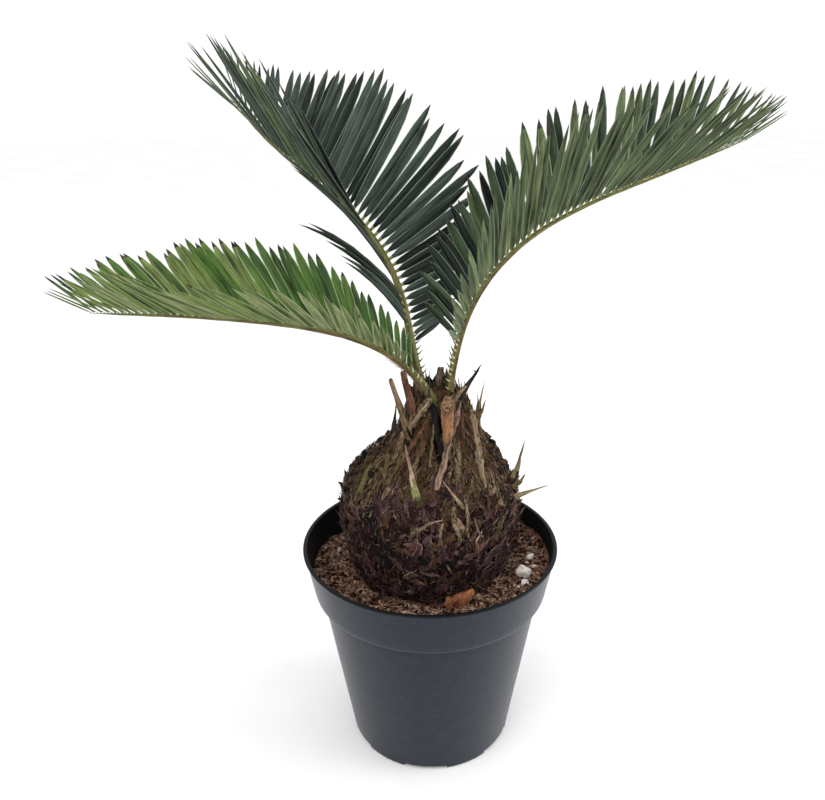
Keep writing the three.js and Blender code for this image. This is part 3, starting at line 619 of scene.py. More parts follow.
def blades(root, way, face, length, width, rings, cup, thickness, bend, ragged):
    """Blades round bent lines. The half width is half of width times the outline there, and ragged
    is the largest share of it that is added or taken away at random."""
    s, outline = np.asarray(rings, float).T
    across = unit(np.cross(face, way))
    face = np.cross(way, across)
    middle = bent(root, way, bend, length, s)
    half = 0.5 * column(width) * outline * (1 + ragged * (random((len(root), len(s))) * 2 - 1))
    thick = column(np.broadcast_to(thickness, len(root))) * outline**0.5
    across = np.broadcast_to(across[:, None], middle.shape)
    face = np.broadcast_to(face[:, None], middle.shape)
    return bladed(middle, across, face, half, np.broadcast_to(cup, len(root)), thick)


def rods(path, radius, sides):
    """Thin round strands along paths of points, given as [strand, place, xyz]."""
    way = unit(np.gradient(path, axis=1))
    chord = path[:, -1] - path[:, 0]
    aside = np.eye(3)[np.abs(chord).argmin(-1)][:, None]
    across = unit(np.cross(way, aside))
    up = np.cross(way, across)
    turn = circle(sides)[:, None]
    rim = across[:, :, None] * np.cos(turn) + up[:, :, None] * np.sin(turn)
    return path[:, :, None] + rim * np.broadcast_to(radius, path.shape[:2])[..., None, None]


def strands(start, way, bend, length, radius, wave, slots, places=5):
    """Thin fibres along bent lines, with a bend in shares of the length. A fibre swings from side to
    side by the wave and thins towards its tip."""
    s = np.linspace(0, 1, places)
    swing = unit(np.cross(way, bend + 1e-6))
    phase = random((len(start), 1)) * 6.28
    path = bent(start, way, bend * column(length), length, s)
    path = path + swing[:, None] * (wave * s * np.sin(phase + 7 * s))[..., None]
    return swept(rods(path, column(radius) * (1 - 0.7 * s), 3), slots, 1, length)


def lumps(centre, size, turn, roughness, rings, sides, tip=0, square=1):
    """Rounded stones: an egg of the three sizes, its round sections squared by a power under 1, its
    +X end tipped up and turned about the upright, each of its points moved in or out by bumps."""
    fall = np.linspace(0.12, np.pi - 0.12, rings)[:, None]
    round_ = circle(sides)
    ball = np.stack((
        np.sin(fall) * np.cos(round_), np.sin(fall) * np.sin(round_), np.cos(fall) + 0 * round_
    ), -1)
    egg = np.sign(ball) * np.abs(ball) ** square * size[:, None, None] / 2
    egg = egg * (1 + roughness * column(bumps(ball * 1.3 + 40 * random((len(size), 1, 1, 3)), 1)))
    x, y, z = egg[..., 0], egg[..., 1], egg[..., 2]
    lean = math.radians(tip)
    x, z = x * math.cos(lean) - z * math.sin(lean), x * math.sin(lean) + z * math.cos(lean)
    cos, sin = (f(np.radians(turn))[:, None, None] for f in (np.cos, np.sin))
    return centre[:, None, None] + np.stack((x * cos - y * sin, x * sin + y * cos, z), -1)


def near(radius, height, *steps):
    """Points of a profile, given by their steps out and up from one radius and height."""
    return [(radius + out, height + up) for out, up in steps]


def straight(start, end, shares):
    """Points of a profile at shares of the straight line between two."""
    return [tuple(a + (b - a) * t for a, b in zip(start, end)) for t in shares]


def make_pot():
    """A wall turned about the upright axis: up the outside, over the lip, down the inside. Its foot
    is raised over each drain notch, whose edges fall on columns of their own."""
    step = POT_HEIGHT - COLLAR_HEIGHT
    lip_foot = POT_HEIGHT - LIP_HEIGHT
    outside = [
        (0.3, 1), (38, 1), (39.5, 0.05),
        *near(BASE_RADIUS - NOTCH_DEPTH, 0, (-0.02, 0), (0, 0)),
        *near(BASE_RADIUS, 0, (-2, 0), (-0.8, 0.15), (-0.2, 0.7), (0, 1.6)),
        *straight((BASE_RADIUS, 2), (BODY_TOP_RADIUS, step - 2), np.linspace(0.03, 0.98, 18)),
        *near(BODY_TOP_RADIUS, step, (-0.1, -1.4), (0.3, -0.5), (1, -0.1)),
        *near(COLLAR_FOOT_RADIUS, step, (-1, 0), (-0.3, 0.2), (0, 0.8)),
        *straight((COLLAR_FOOT_RADIUS, step), (COLLAR_TOP_RADIUS, lip_foot), np.linspace(0.08, 0.96, 8)),
        (COLLAR_TOP_RADIUS, lip_foot),
        *near(LIP_RADIUS, lip_foot, (-0.4, 0.1), (0, 0.4)),
        *near(LIP_RADIUS, POT_HEIGHT, (0, -0.5), (-0.3, -0.1)),
    ]
    inside = [
        (LIP_RADIUS - 0.8, POT_HEIGHT),
        *near(COLLAR_TOP_RADIUS - WALL, POT_HEIGHT, (0.5, 0), (0.1, -0.3)),
        *near(COLLAR_TOP_RADIUS - WALL, lip_foot, (0, 0), (-2, -12)),
        *near(COLLAR_FOOT_RADIUS - WALL, step + WALL, (0, 1), (-0.6, 0)),
        *near(BODY_TOP_RADIUS - WALL, step + WALL, (0.5, 0), (0, -1)),
        *near(BASE_RADIUS - WALL, POT_FLOOR, (0, 0.5), (-1, 0)),
        (0.3, POT_FLOOR),
    ]
    profile = np.array(outside + inside)
    half = math.asin(NOTCH_WIDTH / 2 / BASE_RADIUS)
    middles = np.radians(FIRST_NOTCH) + np.arange(NOTCHES) * 2 * np.pi / NOTCHES
    edges = [middle + side * (half + k) for middle in middles for side in (-1, 1) for k in (-0.002, 0.002)]
    turn = np.sort(np.concatenate((circle(POT_COLUMNS), np.mod(edges, 2 * np.pi))))
    cut = np.abs((turn[:, None] - middles + np.pi) % (2 * np.pi) - np.pi).min(-1) < half
    r, z = profile[:, 0, None], profile[:, 1, None]
    raised = (r > BASE_RADIUS - NOTCH_DEPTH - 0.01) & (z < NOTCH_HEIGHT) & cut
    z = np.where(raised, NOTCH_HEIGHT + 0.02 * z, z + 0 * turn)
    points = np.stack((r * np.cos(turn), r * np.sin(turn), z), -1)[None]
    slots = np.full((1, len(profile) - 1, 1), SLOT["moulded_polypropylene"])
    # The lip's top and the whole inside take the darker plastic, as painted shade
    slots[0, len(outside) - 3:] = SLOT["polypropylene_rim_and_inside_painted_shade"]
    piece("pot_moulded", [swept(points, slots, 440, 300)], ["pot"], sharp=35)
    shader = MATERIALS[SLOT["moulded_polypropylene"]].node_tree.nodes["Principled BSDF"]
    shader.inputs["Specular Tint"].default_value = linear(POT_SHEEN)


def soil_height(heading, radius):
    """The level, a tilt towards one heading, and waves round and out from the axis."""
    turn = np.radians(heading)
    tilt = SOIL_TILT * np.cos(turn - math.radians(SOIL_TILT_HEADING)) * radius / LIP_RADIUS
    waves = np.sin(5 * turn + radius / 7) + 0.6 * np.sin(9 * turn - radius / 4)
    return SOIL_LEVEL + tilt + SOIL_WAVES * waves


def soil_surface(heading, radius):
    """Points on the soil's rough top, which rises a little where it meets the wall."""
    flat = direction(heading) * column(radius)
    lumpy = SOIL_LUMPS * rough(flat, SOIL_LUMP_WIDTH, 4) + SOIL_WALL_RISE * smooth(radius, 62, 72)
    return flat + column(soil_height(heading, radius) + lumpy) * np.array((0, 0, 1))


def on_soil(count):
    """Random places on the soil, evenly spread over its area, and their headings."""
    heading = random(count) * 360
    radius = np.sqrt(STREWN_FROM**2 + (STREWN_TO**2 - STREWN_FROM**2) * random(count))
    return soil_surface(heading, radius), heading


def make_soil_bed():
    """Rings from the pot's sloping wall in to the trunk, over a plug that fills the collar."""
    headings = circle(260, 360)
    up_wall = soil_height(headings, LIP_RADIUS) - COLLAR_INSIDE_FOOT
    wall = COLLAR_FOOT_RADIUS - WALL + up_wall / COLLAR_HEIGHT * COLLAR_SPREAD
    top = np.array([
        soil_surface(headings, SOIL_INNER_RADIUS + (wall - SOIL_INNER_RADIUS) * share)
        for share in np.linspace(1, 0, 60)
    ])
    foot = top[0] * (0.94, 0.94, 0) + (0, 0, SOIL_FOOT)
    rings = np.array([foot * (0.004, 0.004, 1), foot, *top, top[-1] * (0.01, 0.01, 1)])
    bed = swept(rings[None], SLOT["peat_and_coir"])
    piece("soil_bed", [bed], ["soil"], sharp=80)


def make_crumbs():
    """Crumbs of peat, a few of them coarse, and coir fibres, all strewn over the soil."""
    for name, (count, coarse, kind) in CRUMBS.items():
        place, _ = on_soil(count)
        size = (0.7 + coarse * random((count, 1)) ** 3) * (0.7 + 0.6 * random((count, 3)))
        crumbs = lumps(place, size, random(count) * 360, 0.5, 4, 5)
        piece(name, [swept(crumbs, SLOT[kind])], sharp=30)

    start, _ = on_soil(COIR_FIBRES)
    heading = random(COIR_FIBRES) * 360
    way = direction(heading, normal(4, 9, COIR_FIBRES))
    bend = direction(random(COIR_FIBRES) * 360, -15) * 0.35
    length = 2 + 6 * random(COIR_FIBRES) ** 2
    reach = np.linalg.norm((start + way * column(length))[:, :2], axis=-1)
    length = np.where(reach > STREWN_TO, 1.5, length)
    radius = 0.1 + 0.26 * random(COIR_FIBRES) ** 2
    fibres = strands(start + np.array((0, 0, 0.5)), way, bend, length, radius, 0.4, SLOT["coir_fibre"])
    piece("coir_fibres", [fibres])


def make_perlite():
    """Rounded grains of perlite and specks of it."""
    heading, distance, size = np.array(PERLITE).T
    grains = lumps(soil_surface(heading, distance), column(size) * (1, 0.9, 0.8), heading * 3, 0.4, 6, 8)
    place, turn = on_soil(PERLITE_SPECKS)
    size = uniform(0.4, 1.1, (PERLITE_SPECKS, 3))
    specks = lumps(place + np.array((0, 0, 0.3)), size, turn, 0.4, 5, 6)
    shapes = [swept(shape, SLOT["expanded_perlite"]) for shape in (grains, specks)]
    piece("perlite_grains", shapes, sharp=60)


def make_things_on_soil():
    """The bark chip and the three larger grains of perlite, each half sunk in the soil."""
    for name, (heading, distance, size, turn, tip, raised) in ON_SOIL.items():
        centre = direction(heading) * distance
        centre[2] = soil_height(heading, distance) + size[2] * raised
        is_chip = name == "bark_chip"
        roughness, square = (0.2, 0.55) if is_chip else (0.35, 1)
        lump = lumps(centre[None], np.array([size], float), np.array([turn]), roughness, 24, 36, tip, square)
        if is_chip:
            # A wedge: it thins towards its raised end
            length_way = direction(turn, tip)
            off = lump - centre
            along = (off * length_way).sum(-1, keepdims=True)
            thinner = 0.8 - 0.045 * along
            lump = centre + 0.92 * along * length_way + (off - along * length_way) * thinner
            lump = crumpled(crumpled(lump, 9, 1.5), 1.8, 0.5)
        slot = SLOT["pine_bark_chip" if is_chip else "expanded_perlite"]
        piece(name + "_rough", [swept(lump, slot)], [name], sharp=40)


def trunk_at(height):
    """The trunk's radius and its lean."""
    return [np.interp(height, TRUNK_SIDE[:, 0], TRUNK_SIDE[:, k]) for k in (1, 2)]


def trunk_places(heading, height, out=0):
    """Points on the trunk, with the ways across it, up along it and out of it there."""
    heading, height = np.broadcast_arrays(np.asarray(heading, float), np.asarray(height, float))
    radius, lean = trunk_at(height)
    slope = (trunk_at(height + 3)[0] - trunk_at(height - 3)[0]) / 6
    level = direction(heading)
    z = np.array((0, 0, 1.0))
    up = unit(level * column(slope) + z)
    side = direction(heading + 90)
    away = np.cross(side, up)
    place = level * column(radius) + z * column(height) + np.array((1.0, 0, 0)) * column(lean)
    return place + away * column(np.broadcast_to(out, heading.shape)), side, up, away


def on_line(stations, places):
    """Points spread along a smooth line on the trunk through stations of heading and height."""
    s = np.linspace(0, 1, places)
    heading, height = np.array(stations, float).T
    return trunk_places(curve(heading, s), curve(height, s))[0]


def gap_to(spot, heading, height):
    """How far places on the trunk are from one spot on it, in mm."""
    return np.linalg.norm(trunk_places(heading, height)[0] - trunk_places(*spot)[0], axis=-1)


def groove_gap(heading, height):
    """How far places on the trunk are from the groove, whose darkness is painted shade, in mm."""
    place = trunk_places(heading, height)[0]
    return np.linalg.norm(place[..., None, :] - on_line(GROOVE, 20), axis=-1).min(-1)


def zoned(heading, height):
    """The finish of each place on the trunk: the patch it lies in, or one drawn by lot from those
    of its zone. The zones' bounds waver."""
    count = len(height)
    place = trunk_places(heading, height)[0]
    share = (height - 116) / 90 + 0.12 * bumps(place, 14) + normal(0, 0.07, count)
    low, middle, neck = (
        RANDOM.choice([DRESS[name] for name in zone], count, p=list(zone.values())) for zone in ZONES
    )
    kinds = np.where(share < 0.6, low, np.where(share < 0.9, middle, neck))
    for *spot, radius, name in PATCHES:
        inside = (gap_to(spot, heading, height) < radius) & (random(count) < 0.8)
        kinds = np.where(inside, DRESS[name], kinds)
    return kinds


def spiral(count, low, high, power, scatter):
    """Headings and heights of places set round the trunk by the golden angle, with their headings
    scattered. A power over 1 puts more of them low down."""
    height = low + (high - low) * random(count) ** power
    return (np.arange(count) * GOLDEN_ANGLE + normal(0, scatter, count)) % 360, height


def leaning(side, up, away, lean, out):
    """The way up along the trunk, leant to the side by an angle and outward by a slope."""
    return unit(up * column(np.cos(lean)) + side * column(np.sin(lean)) + away * column(out))


def dress(name, points, kinds, girth, length):
    """A piece of the trunk's dress, of shapes that each have one finish or one for each face."""
    slots = kinds.reshape(len(kinds), 1, -1)
    piece(name, [swept(points, slots, girth, length)], sharp=50)


def make_core():
    """The trunk's own skin: rough, dark below and felted above, sunk in a groove and a hole. In
    the groove and the hole the dark cork stays as painted shade.
    """
    heights = np.concatenate((np.arange(104, 226, 0.8), [226.8, 227.4, 227.8, 228]))
    heading, height = np.meshgrid(circle(260, 360), heights)
    place, _, _, away = trunk_places(heading, height)
    hole = gap_to(HOLE, heading, height)
    groove = groove_gap(heading, height)
    relief = 1.5 * rough(place, 12, 4) + 0.8 * rough(place, 3, 2) - 1.4
    sunk = 5 * (1 - smooth(hole, 2, 5.5)) + 3 * (1 - smooth(groove, 1.8, 3.5)) + 4 * smooth(height, 214, 228)
    points = place + away * column(relief - sunk)
    tip = points[-1:] * (0.02, 0.02, 1) + (4.9, 0, 0)
    # Where the felt would reach the groove and the hole the dark cork stays, as painted shade
    felted = (height + 9 * bumps(place, 9) > 172) & (groove > 3.5) & (hole > 5)
    slots = np.where(felted, SLOT["caudex_felt"], SLOT["caudex_dark_cork_and_painted_shade"])[None]
    core = swept(np.concatenate((points, tip))[None], slots)
    piece("caudex_core", [core], ["trunk"], sharp=80)


def make_flakes():
    """Ragged crumpled flakes all over the trunk, which lie closer to it towards the neck."""
    heading, height = spiral(2400, 115, 213, 1.15, 5)
    clear = (groove_gap(heading, height) > 4) & (gap_to(FLAKES_HOLE, heading, height) > 5)
    heading, height = heading[clear], height[clear]
    count = len(height)
    neck = smooth(height, 176, 190)
    shoulder = smooth(height, 155, 172)
    root, side, up, away = trunk_places(heading, height, -1 - neck)
    lean = np.radians(normal(0, 34, count)) * (1 - 0.5 * smooth(height, 165, 190))
    tilt = np.radians(normal(13, 11, count) * (1 - 0.9 * neck))
    way = leaning(side, up, away, lean, np.tan(tilt))
    length = (4 + 9 * random(count) ** 1.4) * (1 - 0.35 * shoulder)
    width = (1 + 3 * random(count) ** 1.6) * (1 - 0.4 * smooth(height, 165, 200))
    sag = length * normal(-0.15, 0.12, count) - length**2 / 60 * shoulder
    bend = away * column(sag) + side * column(normal(0, 1.4, count))
    cup = normal(0.2, 0.3, count)
    thickness = uniform(0.4, 0.9, count)
    flakes = blades(root, way, away, length, width, FLAKE_RINGS, cup, thickness, bend, 0.45)
    dress("leaf_base_flakes", crumpled(flakes, 2.6, 0.8), zoned(heading, height), width, length)


def make_leaf_bases():
    """Old leaf bases that stand off the trunk, many with a pale torn edge."""
    heading, height = spiral(460, 117, 189, 1.25, 4)
    count = len(height)
    root, side, up, away = trunk_places(heading, height, -1.5)
    tilt = np.radians(normal(17, 7, count) * (1 - 0.7 * smooth(height, 160, 178)))
    way = leaning(side, up, away, np.radians(normal(0, 20, count)), np.tan(tilt))
    length = uniform(8, 15, count) * (1 - 0.25 * smooth(height, 158, 175))
    width = uniform(3, 7.5, count) * (1 - 0.35 * smooth(height, 150, 170))
    sag = length * normal(-0.08, 0.1, count) - length**2 / 50 * smooth(height, 155, 172)
    bend = away * column(sag) + side * column(normal(0, 1.8, count))
    cup = normal(0.55, 0.25, count)
    thickness = uniform(0.4, 0.8, count)
    bases = blades(root, way, away, length, width, BASE_RINGS, cup, thickness, bend, 0.3)
    kinds = zoned(heading, height)[:, None]
    torn = (random(count) < 0.6)[:, None] & np.isin(SECTION_FACES, MARGIN_FACES[:2])
    dress("leaf_bases", crumpled(bases, 3.2, 0.9), np.where(torn, DRESS["pink"], kinds), width, length)


def make_strips():
    """Strips of the upper trunk, which rise along it to the neck and keep clear of the groove."""
    heading, height = spiral(560, 168, 220, 0.9, 6)
    length = uniform(9, 24, len(height)) * (1 - 0.3 * smooth(height, 195, 216))
    end_heading = heading + normal(0, 9, len(height))
    end_height = np.minimum(height + 0.8 * length, 223)
    clear = (groove_gap(heading, height) > 4) & (groove_gap(end_heading, end_height) > 4)
    heading, height, length = heading[clear], height[clear], length[clear]
    count = len(height)
    root, side, _, away = trunk_places(heading, height, -1.6)
    end = trunk_places(end_heading[clear], end_height[clear], uniform(-0.6, 0.9, count))[0]
    width = 1.2 + 4 * random(count) ** 1.6
    bend = away * column(normal(0, 0.8, count)) + side * column(normal(0, 1.5, count))
    cup = normal(0.35, 0.2, count)
    thickness = uniform(0.4, 0.9, count)
    strips = blades(root, unit(end - root), away, length, width, STRIP_RINGS, cup, thickness, bend, 0.3)
    dress("leaf_base_strips", crumpled(strips, 3.2, 0.6), zoned(heading, height), width, length)


def make_crown_husks():
    """Husks that close over the top, round the feet of the fronds. In the groove they start deeper."""
    count = 320
    heading = random(count) * 360
    height = uniform(202, 218, count)
    root, _, _, away = trunk_places(heading, height, -0.6)
    end = direction(heading + normal(0, 14, count)) * column(uniform(0, 11, count))
    top = 224.3 + 3 * np.sin(np.radians(heading)) + uniform(-2, 2, count)
    end = end + (5, 0, 0) + column(top) * (0, 0, 1)
    root = root - 4 * away * column(groove_gap(heading, height) < 3)
    length = np.linalg.norm(end - root, axis=-1)
    width = uniform(1.6, 4.2, count)
    cup = normal(0.35, 0.2, count)
    husks = blades(root, unit(end - root), away, length, width, STRIP_RINGS, cup, 0.6, -1.2 * away, 0.3)
    dress("crown_husks", crumpled(husks, 3, 0.6), zoned(heading, height + 6), 6, length)


def make_sheaths():
    """The long sheaths that the photograph shows, and a black strip of painted shade in the groove.
    Each follows its own line on the trunk, faces the camera, and stands off towards it by an arch
    over its length."""
    shapes = []
    places = 22
    s = np.linspace(0, 1, places)
    for width, name, off, stations in SHEATHS:
        middle = on_line(stations, places)
        towards = unit(np.array(CAMERA_PLACE) - middle)
        middle = middle + towards * column(1.2 + (off - 1.2) * np.sin(np.pi * np.clip(s, 0.12, 0.95)))
        ahead = unit(np.gradient(middle, axis=0))
        across = unit(np.cross(towards, ahead))
        face = np.cross(ahead, across)
        half = 0.5 * width * np.interp(s, (0, 0.1, 0.75, 1), (0.5, 1, 0.85, 0.25))
        half = half * (1 + 0.25 * (random(places) * 2 - 1))
        ribbon = bladed(middle[None], across[None], face[None], half[None], 0.4, 0.5)
        shapes.append(swept(crumpled(ribbon, 3, 0.4), DRESS[name], width * 2, 25))
    piece("caudex_sheaths", shapes, sharp=50)


def make_fibres():
    """Loose fibres, which lie along the trunk's surface and curl off it, a few of them pale."""
    for name, (count, foot, top) in FIBRES.items():
        height = foot + (top - foot) * random(count)
        heading = random(count) * 360
        clear = (groove_gap(heading, height) > 3.5) & (gap_to(HOLE, heading, height) > 5)
        heading, height = heading[clear], height[clear]
        count = len(height)
        root, side, up, away = trunk_places(heading, height, uniform(-0.4, 1.3, count))
        lean = normal(0, 0.7, count) * (1 - 0.5 * smooth(height, 170, 190))
        out = uniform(0, 0.35, count) * (1 - 0.8 * smooth(height, 176, 190))
        way = leaning(side, up, away, lean, out)
        bend = side * column(normal(0, 0.3, count)) - away * column(uniform(0.1, 0.4, count))
        length = 2.5 + 6 * random(count) ** 2
        kinds = zoned(heading, height)
        light = random(count) < 0.04
        tan = random(count) < 0.08
        kinds = np.where(light, DRESS["light"], np.where(tan, DRESS["tan"], kinds))[:, None, None]
        fibres = strands(root, way, bend, length, uniform(0.1, 0.24, count), 0.6, kinds)
        piece(name, [fibres])


def make_shoulder_crumbs():
    """Dark crumbling lumps on both shoulders."""
    count = 190
    left = random(count) < 0.5
    heading = np.where(left, normal(176, 13, count), normal(2, 13, count))
    height = uniform(168, 195, count)
    place = trunk_places(heading, height, uniform(-1.2, 0.6, count))[0]
    size = (1.6 + 4 * random((count, 1)) ** 2) * (0.8 + 0.4 * random((count, 3)))
    kinds = np.where(random(count) < 0.6, DRESS["black"], DRESS["brown"])[:, None, None]
    crumbs = swept(lumps(place, size, heading, 0.5, 5, 6), kinds)
    piece("shoulder_crumbs", [crumbs], sharp=40)


def make_stalks():
    """Cut stalks: a ridged rod whose end is a cut that slopes to the front, sunk in its middle."""
    turn = circle(16)
    share = np.array((0, 0.1, 0.25, 0.4, 0.55, 0.7, 0.85, 0.97, 1, 1, 1, 1))
    inset = np.array((1, 1, 1, 1, 1, 1, 1, 1, 0.92, 0.75, 0.4, 0.03))
    dip = np.array((0, 0, 0, 0, 0, 0, 0, 0, 0, 0.35, 0.7, 0.8))
    for name, (foot, tip, width, tip_width, kind, slope) in CUT_STALKS.items():
        way = unit(np.subtract(tip, foot))
        foot = foot - STALK_SUNK * way
        length = np.linalg.norm(tip - foot)
        front = unit(np.cross(np.cross(way, (0, -1.0, 0)), way))
        side = np.cross(front, way)
        radius = 0.5 * (width + (tip_width - width) * share) * inset
        uneven = bumps(np.stack((turn * 3, turn * 0, turn * 0 + width), -1), 1)
        ridges = 1 + 0.07 * np.sin(5 * turn) + 0.07 * uneven
        x = radius[:, None] * ridges * np.sin(turn)
        y = radius[:, None] * ridges * np.cos(turn)
        z = (share * length - dip)[:, None] - slope * y * smooth(share, 0.8, 1)[:, None]
        z = z + 0.3 * bumps(np.stack((x, y, z), -1) + width, 1.5) * smooth(share, 0.9, 1)[:, None]
        points = foot + side * column(x) + front * column(y) + way * column(z)
        points = crumpled(crumpled(points, 5, 0.3), 1.6, 0.2)
        slots = np.full((1, len(share) - 1, 1), SLOT["dry_stalk_" + kind])
        slots[0, np.searchsorted(share, 1):] = SLOT["cut_pith"]
        shape = swept(points[None], slots, width * 3, length)
        piece(name + "_ridged", [shape], [name], sharp=60)


def make_spikes():
    """Spikes: thick blades that face the camera and narrow to a point, with a ragged edge."""
    # The second finish starts sooner on one half and underneath
    ring = np.arange(len(SPIKE_RINGS) - 1)[:, None]
    beyond = ring + 1.6 * np.isin(SECTION_FACES, (0, 1, 5, 6, 7)) >= 4
    for name, (foot, tip, width, low, high) in SPIKES.items():
        way = unit(np.subtract([tip], [foot]))
        root = foot - SPIKE_SUNK * way
        length = np.linalg.norm(tip - root, axis=-1)
        towards = np.array([(0, -1, 0.25)])
        face = unit(towards - way * column((way * towards).sum(-1)))
        ragged = 0.18 if width > 2.5 else 0.08
        blade = blades(
            root, way, face, length, width * 1.15, SPIKE_RINGS, 0.3, width * 0.3, 0 * face, ragged
        )
        slots = np.where(beyond, SPIKE[high], SPIKE[low])[None]
        shape = swept(crumpled(blade, 4, 0.25), slots, width * 2, length)
        piece(name + "_blade", [shape], [name], sharp=50)


def make_husks():
    """Torn sheaths round the foot of each cut stalk, and husks that stand up on their own."""
    shapes = []
    count = 10
    for foot, tip, width, *_ in CUT_STALKS.values():
        turn = np.radians(circle(count, 360) + normal(0, 10, count))
        way = unit(np.subtract(tip, foot))
        side = unit(np.cross(way, (0, -1.0, 0)))
        away = side * column(np.cos(turn)) + np.cross(way, side) * column(np.sin(turn))
        root = foot - SHEATH_SUNK * way + away * (width / 2 + 0.4)
        length = uniform(7, 12, count)
        breadth = uniform(1.6, 2.8, count)
        way = unit(way + 0.06 * away)
        torn = blades(root, way, away, length, breadth, SPIKE_RINGS, 0.35, 0.5, 0.6 * away, 0.3)
        kinds = RANDOM.choice([DRESS[kind] for kind in ("brown", "black", "tan", "olive")], count)
        shapes.append(swept(crumpled(torn, 3, 0.4), kinds[:, None, None], 4, 10))
    piece("stalk_sheaths", shapes, sharp=50)

    way = unit(HUSKS[:, 3:6])
    face = np.tile((0, -1.0, 0.1), (len(HUSKS), 1))
    torn = blades(HUSKS[:, :3], way, face, HUSKS[:, 6], HUSKS[:, 7], SPIKE_RINGS, 0.3, 0.3, 0 * way, 0.3)
    kinds = np.array([SPIKE[HUSK_FINISHES[int(kind)]] for kind in HUSKS[:, 8]])[:, None, None]
    piece("spike_husks", [swept(crumpled(torn, 3, 0.5), kinds, 3, 12)], sharp=50)


def rachis_line(frond):
    """The rachis at even steps: its place is the running sum of its forward directions."""
    u = np.linspace(0, 1, RACHIS_STEPS + 1)
    heading = curve(frond["heading"], u)
    forward = direction(heading, curve(frond["rise"], u))
    left = direction(heading + 90)
    strides = (forward[1:] + forward[:-1]) / 2 * frond["length"] / RACHIS_STEPS
    place = np.array(frond["foot"]) + np.concatenate((np.zeros((1, 3)), np.cumsum(strides, 0)))
    return dict(u=u, place=place, forward=forward, left=left, up=np.cross(forward, left))


def line_at(line, u):
    """The rachis's place, forward, left and up at shares of its length."""
    return [
        np.stack([np.interp(u, line["u"], line[key][:, k]) for k in range(3)], -1)
        for key in ("place", "forward", "left", "up")
    ]


def rachis_width(u):
    """It thins from foot to tip, faster near the foot."""
    return RACHIS_FOOT_WIDTH + (RACHIS_TIP_WIDTH - RACHIS_FOOT_WIDTH) * np.maximum(u, 0) ** 0.6


def frond_nodes(name):
    """The two solids that a frond's pieces stand for."""
    return [f"frond_{name}_lower", f"frond_{name}_outer"]


def make_rachis(name, line):
    """A rod with a round back and a flatter face, swollen where it leaves the trunk. Its back is
    olive towards the foot, and under the left one's foot hangs tan fuzz."""
    turn = circle(14)
    u = np.concatenate(([0], np.linspace(0, 1, 130)))
    place, forward, left, up = line_at(line, u)
    place[0] = place[0] - RACHIS_SUNK * forward[0]
    half = rachis_width(u) / 2 * (1 + 0.3 * (1 - smooth(u, 0, 0.06))) * (1 - 0.8 * smooth(u, 0.9, 1))
    across = half[:, None] * np.cos(turn)
    height = half[:, None] * np.sin(turn) * np.where(np.sin(turn) > 0, 0.62, 0.95)
    points = place[:, None] + left[:, None] * column(across) + up[:, None] * column(height)
    points = points + up[:, None] * column(0.12 * bumps(points, 5))
    back = np.sin(turn + turn[1] / 2) < -0.2
    far_back = LEAF["olive"] if name == "back" else SLOT["rachis_green"]
    back_slots = np.where(u[1:, None] < 0.4, SLOT["rachis_olive_back"], far_back)
    slots = np.where(back, back_slots, SLOT["rachis_green"])
    shapes = [swept(points[None], slots[None], 16, FRONDS[name]["length"])]
    if name == "left":
        place, forward, left, up = line_at(line, 0.16 * random(FUZZ_HAIRS))
        root = place - up * 2.2 + left * column(normal(0, 0.9, FUZZ_HAIRS))
        way = unit(normal(0, 0.5, (FUZZ_HAIRS, 3)) - up)
        length = uniform(0.8, 2, FUZZ_HAIRS)
        shapes.append(strands(root, way, forward * 0.4, length, 0.1, 0.2, SLOT["rachis_tan_fuzz"], places=4))
    piece(f"frond_{name}_rachis", shapes, frond_nodes(name))


